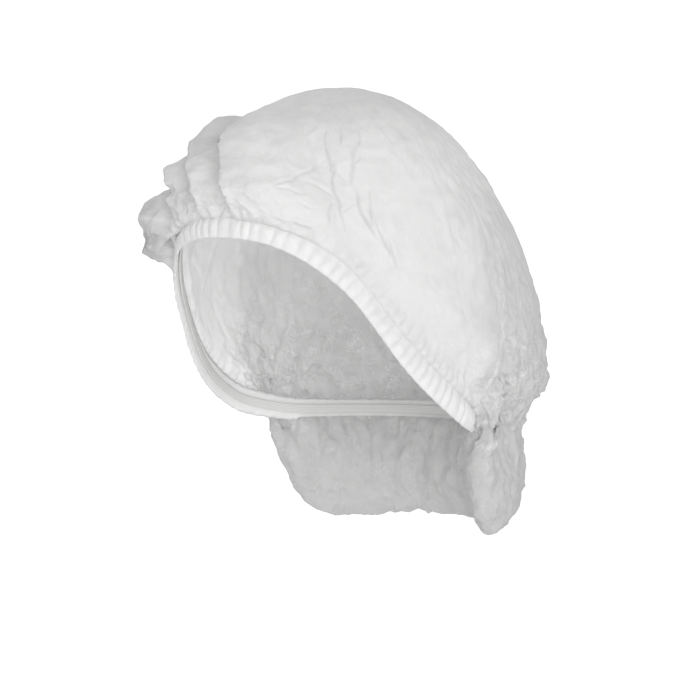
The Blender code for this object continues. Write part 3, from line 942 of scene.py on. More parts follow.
@dataclass(frozen=True)
class Web:
    """The spunbond web that the nonwoven's finishes share."""

    bond_pitch: float = 0.0013
    bond: Span = (0.20, 0.34)  # radii over which a bond point fades, in pitches
    bond_depth: float = 0.45
    filament: float = 0.0005
    laid: tuple[float, ...] = (0.35, 1.25, 2.2, 2.85)  # the filaments' directions, in radians
    slim: float = 0.08  # how much slower a filament changes along itself than across
    strand: Span = (0.52, 0.66)  # the noise's values over which one rises
    strand_height: float = 0.7
    clouds: float = 95.0  # clouds of thickness in a metre

    def group(self) -> bpy.types.NodeTree:
        """Build the group that draws the web.

        Returns:
            The node group, with inputs Cloth, Place, Bond Pitch and Filament, and outputs Height,
            Bond and Cloud.
        """
        tree = bpy.data.node_groups.new("nonwoven_web", "ShaderNodeTree")
        for name in ("Cloth", "Place"):
            tree.interface.new_socket(name, in_out="INPUT", socket_type="NodeSocketVector")
        for name, value in (("Bond Pitch", self.bond_pitch), ("Filament", self.filament)):
            socket = tree.interface.new_socket(name, in_out="INPUT", socket_type="NodeSocketFloat")
            socket.default_value = value
        for name in ("Height", "Bond", "Cloud"):
            tree.interface.new_socket(name, in_out="OUTPUT", socket_type="NodeSocketFloat")
        graph = Graph(tree)
        given = tree.nodes.new("NodeGroupInput").outputs
        put = tree.nodes.new("NodeGroupOutput").inputs
        laid = None
        for turn in self.laid:
            run = self.scaled(graph, given["Cloth"], given["Filament"], self.slim, turn)
            strands = graph.node(
                "TexNoise", noise_dimensions="2D", Vector=run, Detail=1.0, Scale=1.0
            )
            strand = graph.spread(strands.outputs[0], self.strand, (0.0, 1.0))
            laid = strand if laid is None else graph.math("MAXIMUM", laid, strand)
        lattice = self.scaled(graph, given["Cloth"], given["Bond Pitch"], 1.0, math.pi / 4)
        cells = graph.node(
            "TexVoronoi", voronoi_dimensions="2D", Vector=lattice, Scale=1.0, Randomness=0.0
        )
        bond = graph.spread(cells.outputs["Distance"], self.bond, (1.0, 0.0))
        cloudy = graph.node(
            "TexNoise", Vector=given["Place"], Scale=self.clouds, Detail=4.0, Roughness=0.55
        )
        raised = graph.math("MULTIPLY", laid, self.strand_height)
        pressed = graph.math("MULTIPLY", bond, self.bond_depth)
        graph.feed(put["Height"], graph.math("SUBTRACT", raised, pressed))
        graph.feed(put["Bond"], bond)
        graph.feed(put["Cloud"], cloudy.outputs[0])
        return tree

    def scaled(
        self, graph: Graph, vector: object, length: object, squeeze: float, turn: float
    ) -> Socket:
        """Turn a place in the cloth, measure it in a length and squeeze it one way.

        Args:
            graph: The group's graph.
            vector: The place.
            length: The length.
            squeeze: What the turned place's second coordinate is multiplied by.
            turn: The angle, in radians.

        Returns:
            The place, in lengths.
        """
        turned = graph.node("VectorRotate", rotation_type="Z_AXIS", Vector=vector, Angle=turn)
        even = graph.node("VectorMath", operation="SCALE", Vector=turned.outputs[0])
        graph.feed(even.inputs["Scale"], graph.math("DIVIDE", 1.0, length))
        long = graph.node("VectorMath", operation="MULTIPLY", Vector=even.outputs[0])
        long.inputs[1].default_value = (1.0, squeeze, 1.0)
        return long.outputs[0]


@dataclass(frozen=True)
class NonwovenFinish:
    """A matt white spunbond nonwoven that lets a little light through."""

    name: str
    colour: Colour = (0.93, 0.93, 0.927, 1.0)  # its own colour, where the painted light is whole
    shade_colour: Colour = (0.66, 0.66, 0.658, 1.0)  # painted shade, where the cloth stands off the head or lies folded
    bond_shade: Colour = (0.93, 0.93, 0.93, 1.0)
    bond_share: float = 0.2  # how much of that shade a bond point gets
    roughness: float = 0.82
    sheen: float = 0.15
    sheen_roughness: float = 0.5
    gloss: float = 0.3
    through: float = 0.30  # share of the light that goes through the cloth
    cloud: float = 0.10  # how much lighter or darker the web's clouds are
    clouds: Span = (0.28, 0.72)  # thicknesses of the web that do so
    relief: float = 0.00012  # height of the web's bump
    relief_strength: float = 0.8
    crinkle: float = 0.00035  # height of the fine crinkles' bump
    crinkle_strength: float = 0.35
    crinkle_scale: float = 260.0  # crinkles in a metre
    facet: float = 0.0062  # size of the smallest facets of crumpled cloth
    crooked: float = 2.6  # how far their borders wander, in facets
    drift: float = 0.7  # how often they do, in a facet's width
    patch: Span = (0.42, 0.60)  # the drift's values over which they start to show
    patch_least: float = 0.15
    crease: float = 0.0006  # height of their bump
    crease_strength: float = 0.8
    crease_width: float = 0.30  # how wide their raised borders are, in facets
    edge_width: float = 0.06  # how wide the painted highlight along a border is, in facets
    edge_light: float = 0.50  # how much lighter that painted highlight is
    edge_shade: float = 0.06  # and how much darker a facet's middle is painted, painted shade

    def material(self, web: bpy.types.NodeTree) -> bpy.types.Material:
        """Build the material.

        Args:
            web: The group that draws the web.

        Returns:
            The material.
        """
        made = bpy.data.materials.new(self.name)
        made.use_nodes = True
        graph = Graph(made.node_tree)
        cloth = graph.node("UVMap", uv_map="cloth").outputs[0]
        place = graph.node("TexCoord").outputs["Object"]
        weave = graph.node("Group", node_tree=web, Cloth=cloth, Place=place).outputs
        # The painted light and shade that the pieces carry, and how crumpled their cloth is.
        close, slack = (
            graph.node("Attribute", attribute_name=name).outputs["Fac"]
            for name in ("painted_shading", "slackness")
        )
        scale = self.drift / self.facet
        drift = graph.node("TexNoise", Vector=place, Scale=scale, Detail=3.0)
        distance = self.borders(graph, place, drift.outputs["Color"])
        patches = graph.spread(drift.outputs[0], self.patch, (self.patch_least, 1.0))
        crumpled = graph.math("MULTIPLY", slack, patches)
        lines = (self.edge_light, -self.edge_shade)
        edge = graph.spread(distance, (0.0, self.edge_width), lines)
        cloud = graph.spread(weave["Cloud"], self.clouds, (-self.cloud, self.cloud))
        # Painted light and shade, painted crumple highlights and shade, and the web's own clouds
        # mix the painted shade colour into the cloth's colour.
        light = graph.math("MULTIPLY_ADD", edge, crumpled, graph.math("ADD", close, cloud))
        tone = graph.mix(light, self.shade_colour, self.colour)
        bonded = graph.math("MULTIPLY", weave["Bond"], self.bond_share)
        tone = graph.mix(bonded, tone, self.bond_shade, "MULTIPLY")
        crinkles = graph.node(
            "TexNoise", Vector=place, Scale=self.crinkle_scale, Detail=3.0, Roughness=0.6
        )
        coarse = graph.bump(crinkles.outputs[0], self.crinkle, self.crinkle_strength)
        border = graph.spread(distance, (0.0, self.crease_width), (1.0, 0.0))
        raised = graph.math("MULTIPLY", border, crumpled)
        creased = graph.bump(raised, self.crease, self.crease_strength, coarse)
        fine = graph.bump(weave["Height"], self.relief, self.relief_strength, creased)
        self.shade(graph, tone, fine)
        return made

    def borders(self, graph: Graph, place: object, drift: object) -> Socket:
        """Part the cloth into small facets.

        Args:
            graph: The material's graph.
            place: Where each point lies.
            drift: A colour that moves it, so that the borders wander.

        Returns:
            How far each point is from a facet's border, in facets.
        """
        moved = graph.node("VectorMath", operation="MULTIPLY_ADD", Vector=drift)
        moved.inputs[1].default_value = (self.crooked * self.facet,) * 3
        graph.feed(moved.inputs[2], place)
        spot, scale = moved.outputs[0], 1.0 / self.facet
        plates = graph.node("TexVoronoi", feature="DISTANCE_TO_EDGE", Vector=spot, Scale=scale)
        return plates.outputs["Distance"]

    def shade(self, graph: Graph, tone: object, normal: object) -> None:
        """Shade the cloth, with a share of the light going through it.

        Args:
            graph: The material's graph.
            tone: The cloth's colour.
            normal: Its bumped normal.
        """
        nodes = graph.tree.nodes
        shader = nodes["Principled BSDF"]
        graph.feed(shader.inputs["Base Color"], tone)
        graph.feed(shader.inputs["Normal"], normal)
        shader.inputs["Roughness"].default_value = self.roughness
        shader.inputs["Sheen Weight"].default_value = self.sheen
        shader.inputs["Sheen Roughness"].default_value = self.sheen_roughness
        shader.inputs["Specular IOR Level"].default_value = self.gloss
        glow = graph.node("BsdfTranslucent", Color=tone, Normal=normal)
        both = graph.node("MixShader")
        both.inputs[0].default_value = self.through
        graph.feed(both.inputs[1], shader.outputs[0])
        graph.feed(both.inputs[2], glow.outputs[0])
        graph.feed(nodes["Material Output"].inputs["Surface"], both.outputs[0])


@dataclass(frozen=True)
class ElasticFinish:
    """A flat woven elastic: ribs along the band, picks across it."""

    name: str
    colour: Colour = (0.80, 0.80, 0.79, 1.0)
    # darker colour of the weave's valleys, painted shade in its recesses
    valley: Colour = (0.62, 0.62, 0.61, 1.0)
    roughness: float = 0.7
    rib: float = 0.00085  # from one rib to the next
    rib_share: float = 0.5  # how much of the height is the ribs'
    pick: float = 0.0006  # from one pick to the next
    pick_share: float = 0.25  # and the picks'
    relief: float = 0.0002
    relief_strength: float = 0.8

    def material(self) -> bpy.types.Material:
        """Build the material, with the band's lengths as its UV map.

        Returns:
            The material.
        """
        made = bpy.data.materials.new(self.name)
        made.use_nodes = True
        graph = Graph(made.node_tree)
        shader = made.node_tree.nodes["Principled BSDF"]
        cloth = graph.node("UVMap", uv_map="cloth").outputs[0]
        apart = graph.node("SeparateXYZ", Vector=cloth).outputs
        along = graph.math("SINE", graph.math("MULTIPLY", apart["X"], math.tau / self.pick))
        across = graph.math("SINE", graph.math("MULTIPLY", apart["Y"], math.tau / self.rib))
        picks = graph.math("MULTIPLY", along, self.pick_share)
        woven = graph.math("ADD", picks, graph.math("MULTIPLY", across, self.rib_share))
        most = self.pick_share + self.rib_share
        height = graph.spread(woven, (-most, most), (0.0, 1.0))
        bump = graph.bump(height, self.relief, self.relief_strength)
        # The weave's valleys take the darker colour: painted shade.
        graph.feed(shader.inputs["Base Color"], graph.mix(height, self.valley, self.colour))
        graph.feed(shader.inputs["Normal"], bump)
        shader.inputs["Roughness"].default_value = self.roughness
        return made


@dataclass(frozen=True)
class SheetGrid:
    """The crown's sheet as a grid of rows, down from the top, and columns, round the cap."""

    azimuths: Array
    line: Array  # (reach, depth) of each point
    run: Array  # its length along the cloth from the top
    to_seam: Array  # and from there to the hem
    places: Array


def outwards(places: Array) -> Array:
    """Find the way out of the cloth.

    Args:
        places: The places of a grid that closes round the cap, by row and column.

    Returns:
        A direction of length 1 for each.
    """
    around = np.roll(places, -1, axis=1) - np.roll(places, 1, axis=1)
    way = np.cross(np.gradient(places, axis=0), around)
    way[0] = (0.0, 0.0, 1.0)
    return way / np.maximum(np.linalg.norm(way, axis=-1, keepdims=True), 1e-12)


@dataclass(frozen=True)
class Fan:
    """The fan of pleats at the forehead, as it lifts the sheet."""

    form: WornForm
    swing: float = 2.5  # exponent of a crest's swing towards the wearer's right
    roundness: float = 1.25  # exponent of a pleat's gentle side
    blunt: float = 0.10  # how blunt a cusp's tip is, a share of its reach
    blunter: float = 0.5  # and how much blunter a round one's
    least_foot: float = 0.15  # least depth over which a foot hangs, a share of the seam's
    overlap: float = 5.0  # exponent by which the highest pleat says how a place lifts
    full: float = 0.010  # height from which a pleat has all its streaks and dents
    wander: Layers = (Noise((0.03, 0.03, 0.016), 1.3, 5), Noise(0.007, 0.35, 6))
    rough: Noise = Noise(0.0055, 0.02, 70)
    patch: Noise = Noise(0.013, 1.0, 60)  # where a pleat's raggedness is 1
    streaks: Layers = (
        Noise((0.0042, 0.0042, 0.030), 0.0009, 21),
        Noise((0.016, 0.016, 0.0045), 0.00063, 22),
    )
    dent: Noise = Noise((0.010, 0.010, 0.017), 0.0013, 23)
    dent_rim: float = 0.3
    dent_push: Noise = Noise(0.01, 0.002, 24)

    def stands(self, blade: Blade, level: Array) -> Array:
        """Find how far a pleat stands off at each depth.

        Args:
            blade: The pleat.
            level: Depths, as shares of the seam's.

        Returns:
            Shares of its reach, with a blunted tip where it turns back.
        """
        rise = (level - blade.top) / (blade.shoulder - blade.top)
        rise = np.clip(rise, 0.0, 1.0) * (1.0 - blade.round) + ease(rise) * blade.round
        fall = np.clip(blade.end - level, 0.0, None) / (blade.end - blade.foot)
        blunt = self.blunt + self.blunter * blade.round
        nearer = np.clip(0.5 + 0.5 * (fall - rise) / blunt, 0.0, 1.0)
        stands = rise * nearer + fall * (1.0 - nearer) - blunt * nearer * (1.0 - nearer)
        return np.maximum(stands, 0.0)

    def across(self, blade: Blade, turned: Array, level: Array) -> Array:
        """Draw a pleat's profile across itself.

        Args:
            blade: The pleat.
            turned: Azimuths from the front, in degrees.
            level: Depths, as shares of the seam's.

        Returns:
            The profile at each point, from 0 off the pleat to 1 on its crest.
        """
        crest = blade.azimuth - blade.sweep * np.clip(1.0 - level, 0.0, 1.0) ** self.swing
        place = (turned - crest) / self.form.fan_blade
        side = np.where(place >= 0, place / blade.spread, -place / self.form.blade_back)
        gentle = np.cos(np.clip(side, 0.0, 1.0) * math.pi / 2) ** self.roundness
        return np.where(place >= 0, gentle, ease(1.0 - side))

    def lift(self, azimuths: Array, level: Array, base: Array) -> Array:
        """Work out how far the pleats lift the sheet.

        Args:
            azimuths: The columns' azimuths.
            level: Depth of each point, a share of the seam's.
            base: Its place on the plain form.

        Returns:
            How far each point moves outwards and how far up, with these two last.
        """
        turned = from_front(azimuths) + noise(base, *self.wander)
        heights, lifts = [], []
        for number, blade in enumerate(BLADES):
            patch = self.patch._replace(height=blade.ragged, seed=self.patch.seed + number)
            ragged = 1.0 + noise(base, patch, self.rough)
            profile = self.stands(blade, level) * self.across(blade, turned, level)
            heights.append(self.form.fan_reach * blade.reach * profile * ragged)
            foot = max(blade.foot, blade.shoulder + self.least_foot)
            above = 1.0 - rising(level, blade.top, blade.shoulder)
            lifts.append(blade.lift * above - blade.hang * rising(level, blade.shoulder, foot))
        heights = np.stack(heights)
        shares = (heights + 1e-6) ** self.overlap
        lift = (shares * np.stack(lifts)).sum(axis=0) / shares.sum(axis=0)
        height = heights.max(axis=0)
        pushed = base + noise(base, self.dent_push)[..., None]
        dents = self.dent_rim - facets(pushed, self.dent.cell, self.dent.seed)
        uneven = noise(base, *self.streaks) + dents * self.dent.height
        out = height + uneven * np.clip(height / self.full, 0.0, 1.0)
        return np.stack([out, height * lift], axis=-1)


@dataclass(frozen=True)
class HemGathers:
    """The gathers that run up from the hem, finer next to it and merging further off."""

    form: WornForm
    rhythm: HemRhythm
    height: float = 0.0016
    middle: float = 0.45  # height of a gather that leaves the cloth where it is
    roundness: float = 0.80  # exponent of a gather's profile
    warp: Noise = Noise(0.024, 0.9, 31)  # how far they wander sideways, in their own widths
    warp_run: float = 0.02  # how far up they wander by all of that
    rise: float = 0.3  # over how much of its reach a gather rises, next to the hem
    least: float = 0.25  # how much of the finest ones there is at the hem itself
    upright: float = 0.03  # how far up gathers stand square to the hem
    inner_row: float = 0.0120  # height of the hem's inner row, square to the hem
    inner_rise: float = 0.0012
    inner_puff: float = 0.0030
    inner_valley: float = 0.12  # how full the inner row is in its valleys
    inner_round: float = 0.95  # and how much fuller on its puffs

    def relief(self, grid: SheetGrid) -> Array:
        """Work out the gathers' relief.

        Args:
            grid: The sheet.

        Returns:
            How far out of the sheet each point moves.
        """
        azimuths, to_seam = grid.azimuths, grid.to_seam
        rumple = read_table(RUMPLES, azimuths)
        half = self.form.hem_height * self.form.sections(azimuths)["height"]
        phase = self.rhythm.upright(azimuths, np.minimum(to_seam, self.upright) + half)
        warp = noise(grid.places, self.warp) * np.clip(to_seam / self.warp_run, 0.0, 1.0)
        total = np.zeros_like(to_seam)
        for family, gather in enumerate(GATHERS):
            count = round(self.rhythm.ribs / gather.merge)
            here = (phase + warp * gather.merge) * count / self.rhythm.ribs
            wave = self.rhythm.puffs(here, self.roundness, family % 3) - self.middle
            fade = np.exp(-to_seam / (gather.far * rumple["reach"]))
            fade *= np.clip(to_seam / (gather.far * self.rise), self.least / gather.merge, 1.0)
            total += wave * fade * gather.strength
        total *= self.height * rumple["gathers"]
        square = self.rhythm.squared(azimuths, to_seam)
        bulge = (1.0 - np.exp(-square / self.inner_rise)) * (1.0 - ease(square / self.inner_row))
        puffs = self.inner_valley + self.inner_round * self.rhythm.puffs(phase, self.roundness, 1)
        return total + self.inner_puff * rumple["inner"] * bulge * puffs


@dataclass(frozen=True)
class Crumple:
    """The sharp crumple of the slack cloth: flat dents with ridges between them, as in paper."""

    form: WornForm
    height: float = 0.0082
    hem_reach: float = 0.030  # how far up from the hem it runs where a rumple's reach is 1
    clear: float = 0.004  # how far from the hem it is whole
    ridge: float = 0.05  # half a ridge's width, in facets
    ridge_more: float = 0.35  # how much stronger the ridges' painted highlight is than their relief
    ridge_fall: float = 1.5  # exponent by which they fade where there is less crumple
    push: Noise = Noise(0.012, 0.0035, 41)
    patchy: float = 0.62  # strength of one size of facets, on average
    patch: Noise = Noise(0.03, 0.38, 47)  # and how much that changes from place to place
    behind: Span = (92.0, 106.0)  # azimuths over which the slack back starts
    slack: Span = (0.40, 0.84)  # depths over which it grows slack
    slack_patch: Noise = Noise(0.03, 0.12, 44)
    lobe: Span = (0.98, 1.06)  # depths over which it turns into the lobe
    lobe_less: float = 0.45  # how much less crumpled the lobe is
    front_share: float = 0.3  # how crumpled the finish is before the slack back, a share of it

    def relief(self, grid: SheetGrid) -> tuple[Array, Array, Array]:
        """Work out the crumple.

        Args:
            grid: The sheet.

        Returns:
            Its relief, how much of a ridge's painted highlight each point gets, and how crumpled
            the cloth is there.
        """
        azimuths, to_seam, base = grid.azimuths, grid.to_seam, grid.places
        depth = grid.line[..., 1] / self.form.nape_depth
        rumple = read_table(RUMPLES, azimuths)
        push = [noise(base, self.push._replace(seed=self.push.seed + axis)) for axis in range(3)]
        pushed = base + np.stack(push, axis=-1)
        relief = np.zeros_like(to_seam)
        ridges = np.zeros_like(to_seam)
        for number, facet in enumerate(FACETS):
            border = facets(pushed, (facet.width, facet.width, facet.height), facet.seed)
            patch = self.patch._replace(seed=self.patch.seed + number)
            here = self.patchy + noise(base, patch)
            relief += dented(border) * here * facet.strength
            sharp = bell(border, self.ridge) * here * min(1.0, facet.strength + self.ridge_more)
            ridges = np.maximum(ridges, sharp)
        fade = bell(to_seam, self.hem_reach * rumple["reach"]) * rumple["crumple"]
        behind = rising(np.abs(from_front(azimuths)), *self.behind)
        slack = behind * rising(depth + noise(base, self.slack_patch), *self.slack)
        weight = np.maximum(fade, slack) * (1.0 - self.lobe_less * rising(depth, *self.lobe))
        weight *= np.clip(to_seam / self.clear, 0.0, 1.0)
        crumpled = weight * (self.front_share + (1.0 - self.front_share) * behind)
        return relief * weight * self.height, ridges * weight**self.ridge_fall, crumpled


@dataclass(frozen=True)
class Creasing:
    """The single folds and creases of the table, pressed into the sheet."""

    form: WornForm
    pieces: int = 8  # how many straight pieces a fold's line has
    near: float = 14.0  # how far beside its line a fold still reaches, in degrees
    clear: float = 0.004  # how far from the hem folds are whole
    blunt: float = 0.06  # where a fold's height levels off at its ends, a share of its length
    ridge_unit: float = 0.001  # height of a ridge of 1 in the table, in metres
    ridge_point: float = 1.3  # exponent of its profile
    ridge_dip: float = 0.35  # how deep the cloth dips beside it, a share of its height
    ridge_aside: float = 2.0  # and how far off its line, in widths
    ridge_line: float = 0.0009  # half the width of the painted highlight line along it
    ridge_full: float = 0.0008  # height from which that painted highlight is at its lightest
    ridge_wide: float = 0.0018  # width from which it grows weaker
    crease_unit: float = 0.00088  # depth of a crease of 1 in the table
    crease_core: float = 0.45  # half the width of its floor, a share of its own
    crease_lip: float = 0.45  # how high the cloth rises on its lower side, a share of its depth
    # the parts of that lip: middle and width, in the crease's widths, and height
    lips: tuple[tuple[float, float, float], ...] = ((1.3, 0.9, 1.0), (2.6, 1.6, 0.5))
    # the crease's painted shade line: half its width, the depth from which it is darkest, and the
    # width from which it grows weaker
    crease_line: float = 0.0007
    crease_full: float = 0.0013
    crease_wide: float = 0.0019
    crooked: Layers = (Noise(0.010, 0.0014, 56), Noise(0.0042, 0.0006, 57))
    jagged: Layers = (Noise(0.010, 0.0014, 59), Noise(0.0042, 0.0006, 49))

    def trace(
        self, fold: Fold, reach: Array, sideways: Array, depth: Array
    ) -> tuple[Array, Array, Array]:
        """Measure points from a fold's line.

        Args:
            fold: The fold.
            reach: How far each point is from the axis.
            sideways: How far round it is from the fold's middle azimuth.
            depth: How deep it is.

        Returns:
            How far each is from the line, on which side of it, as 1 or -1, and what share of the
            line lies before it.
        """
        off = np.full(reach.shape, 1.0)
        side = np.ones(reach.shape)
        gone = np.zeros(reach.shape)
        width = fold.end_azimuth - fold.start_azimuth
        last = None
        for step in range(self.pieces + 1):
            share = step / self.pieces
            turn = width * (share - 0.5) + fold.bow * math.sin(math.pi * share)
            drop = fold.start_depth + (fold.end_depth - fold.start_depth) * share
            here = np.stack([np.radians(turn) * reach, 0 * reach + drop * self.form.nape_depth])
            if last is not None:
                run = here - last
                gap = np.stack([sideways, depth]) - last
                along = (gap * run).sum(axis=0) / np.maximum((run**2).sum(axis=0), 1e-12)
                along = np.clip(along, 0.0, 1.0)
                apart = np.hypot(*(gap - run * along))
                turned = np.sign(gap[0] * run[1] - gap[1] * run[0])
                side = np.where(apart < off, turned, side)
                gone = np.where(apart < off, (step - 1 + along) / self.pieces, gone)
                off = np.minimum(off, apart)
            last = here
        return off, side, gone

    def crease(self, height: Array, width: float, off: Array, side: Array) -> tuple[Array, Array]:
        """Press one crease: a sharp floor, with the cloth raised on its lower side.

        Args:
            height: Its height along its line, below 0.
            width: Its width.
            off: How far each point is from its line.
            side: On which side of it, as 1 or -1.

        Returns:
            Its relief, and how much of its painted dark line of shade each point is on.
        """
        beside = off * side / width
        lip = sum(share * bell(beside - middle, wide) for middle, wide, share in self.lips)
        relief = height * (bell(off, self.crease_core * width) - self.crease_lip * lip)
        line = bell(off, self.crease_line) * np.minimum(1.0, -height / self.crease_full)
        return relief, line / max(width / self.crease_wide, 1.0)

    def ridge(self, height: Array, width: float, off: Array) -> tuple[Array, Array]:
        """Raise one ridge, with a dip on both sides.

        Args:
            height: Its height along its line.
            width: Its width.
            off: How far each point is from its line.

        Returns:
            Its relief, and how much of its painted highlight line each point is on.
        """
        dip = bell(off - self.ridge_aside * width, width)
        crest = np.exp(-np.abs(off / width) ** self.ridge_point)
        line = bell(off, self.ridge_line) * np.minimum(1.0, height / self.ridge_full)
        return height * (crest - self.ridge_dip * dip), line * min(1.0, self.ridge_wide / width)

    def relief(self, grid: SheetGrid) -> tuple[Array, Array, Array]:
        """Work out all the folds and creases.

        Args:
            grid: The sheet.

        Returns:
            Their relief, and how much of a crease's painted shade line and of a ridge's painted
            highlight line each point is on, from 0 to 1.
        """
        total, creases, ridge_highlights = np.zeros((3, *grid.to_seam.shape))
        crooked = noise(grid.places, *self.crooked)
        jagged = noise(grid.places, *self.jagged)
        for fold in FOLDS:
            around = from_front(grid.azimuths - (fold.start_azimuth + fold.end_azimuth) / 2)
            reached = abs(fold.end_azimuth - fold.start_azimuth) / 2 + self.near
            near = np.nonzero(np.abs(around) < reached)[0]
            reach, depth = np.moveaxis(grid.line[:, near], -1, 0)
            sideways = np.radians(around[near]) * reach + crooked[:, near]
            off, side, gone = self.trace(fold, reach, sideways, depth + jagged[:, near])
            width = fold.width * MILLIMETRE
            unit = self.ridge_unit if fold.height > 0 else self.crease_unit
            ends = np.clip(gone, self.blunt, 1.0 - self.blunt)
            height = fold.height * unit * np.sqrt(np.sin(np.pi * ends))
            if fold.height < 0:
                relief, line = self.crease(height, width, off, side)
                creases[:, near] = np.maximum(creases[:, near], line)
            else:
                relief, line = self.ridge(height, width, off)
                ridge_highlights[:, near] = np.maximum(ridge_highlights[:, near], line)
            total[:, near] += relief
        return total * np.clip(grid.to_seam / self.clear, 0.0, 1.0), creases, ridge_highlights


@dataclass(frozen=True)
class Waves:
    """The soft dents, streaks and small flats of the whole sheet."""

    clear: float = 0.01  # how far from the hem they are whole
    top_run: float = 0.02  # depth over which they grow down from the top
    top_streaks: float = 0.15  # how much there is of the streaks on top
    top_dents: float = 0.5  # and of the rest
    soft: Layers = (Noise(0.052, 0.0010, 51), Noise(0.021, 0.0005, 52))
    streaks: Noise = Noise((0.009, 0.009, 0.055), 0.00045, 53)
    push: Noise = Noise(0.02, 0.005, 54)
    flats: Noise = Noise(0.015, 0.0015, 55)
    bumps: Noise = Noise(0.008, 0.0005, 58)
    bumps_more: float = 0.0011  # how much higher the bumps are at the back
    behind: Span = (70.0, 115.0)  # azimuths over which that starts

    def relief(self, grid: SheetGrid) -> Array:
        """Work out the dents, streaks and flats.

        Args:
            grid: The sheet.

        Returns:
            How far out of the sheet each point moves.
        """
        base = grid.places
        near_top = np.clip(-base[..., 2] / self.top_run, self.top_streaks, 1.0)
        streaks = noise(base, self.streaks) * near_top
        pushed = base + noise(base, self.push)[..., None]
        behind = rising(np.abs(from_front(grid.azimuths)), *self.behind)
        flats = dented(facets(pushed, self.flats.cell, self.flats.seed)) * self.flats.height
        bumps = dented(facets(pushed, self.bumps.cell, self.bumps.seed))
        bumps *= self.bumps.height + self.bumps_more * behind
        near_top = np.maximum(near_top, self.top_dents)
        total = noise(base, *self.soft) * near_top + streaks + (flats + bumps) * near_top
        return total * np.clip(grid.to_seam / self.clear, 0.0, 1.0)


@dataclass(frozen=True)
class PaintedBacklight:
    """Painted light and shade: the cloth is painted lighter where it lies on the head it is worn
    on, which is left out and would light it from behind, and darker where it stands off the head.
    """

    form: WornForm
    dome: float = 2.2  # exponent of the curve that the cloth is worn on
    uneven: Noise = Noise(0.02, 0.002, 91)
    spare: float = 0.004  # how far off it the cloth still has the whole painted light
    spare_front: float = 0.017  # and how much further beside the fan
    spare_azimuths: tuple[float, ...] = (-16.0, -6.0, 40.0, 60.0)
    loosening: float = 0.012  # distance over which the painted light turns to painted shade
    low: float = 0.93  # depth from which it hangs free, a share of the nape's
    low_run: float = 0.012
    border: Layers = (Noise(0.016, 9.0, 92), Noise(0.006, 4.0, 93))
    behind: Span = (97.0, 107.0)  # azimuths over which the slack back starts
    behind_depths: Span = (0.40, 0.62)
    # how much of the painted light the slack back loses, painted shade
    behind_less: float = 0.85
    folded: tuple[float, ...] = (-62.0, -54.0, -35.0, -27.0)  # azimuths of the folded pleats
    folded_off: Span = (0.008, 0.016)
    pleated: tuple[float, ...] = (-62.0, -54.0, -6.0, 4.0)  # azimuths of all the narrow pleats
    pleated_off: Span = (0.004, 0.014)
    # how much of the painted light the narrow pleats lose, painted shade
    pleated_less: float = 0.26
    least: float = 0.48  # painted light of cloth that stands off the head, its painted shade
    least_folded: float = 0.44  # how much darker that painted shade is in the folded pleats
    least_behind: float = 0.10  # and how much darker it is behind
    top: Span = (0.05, 0.18)  # depths over which the painted shade on top fades out
    top_edge: Noise = Noise(0.014, 0.03, 94)
    # how much painted shade darkens the top
    top_shade: float = 0.42

    def painted_shading(self, grid: SheetGrid) -> Array:
        """Work out the cloth's painted light and shade.

        Args:
            grid: The sheet.

        Returns:
            The painted light of each point, from 1 on what it is worn on to 0, painted shade, well
            off it.
        """
        form, base = self.form, grid.places
        reach, depth = grid.line[..., 0], grid.line[..., 1]
        down = depth / form.nape_depth
        belly = form.nape_depth * form.sections(grid.azimuths)["belly"]
        share = 1.0 - np.clip(1.0 - depth / belly, 0.0, 1.0) ** self.dome
        worn_on = form.head_reach(grid.azimuths) * share ** (1.0 / self.dome)
        off = reach - worn_on + noise(base, self.uneven)
        low = ease((depth - form.nape_depth * self.low) / self.low_run)
        turned = from_front(grid.azimuths)
        spare = self.spare + self.spare_front * between(turned, *self.spare_azimuths)
        behind = rising(np.abs(turned) + noise(base, *self.border), *self.behind)
        behind *= rising(down, *self.behind_depths)
        close = (1.0 - ease((off - spare) / self.loosening)) * (1.0 - low)
        close *= 1.0 - self.behind_less * behind
        pleated = between(turned, *self.pleated) * rising(off, *self.pleated_off)
        close *= 1.0 - self.pleated_less * pleated
        folded = between(turned, *self.folded) * rising(off, *self.folded_off)
        least = self.least - self.least_folded * folded - self.least_behind * behind
        top = 1.0 - rising(down + noise(base, self.top_edge), *self.top)
        return np.maximum(close, least) * (1.0 - self.top_shade * top)


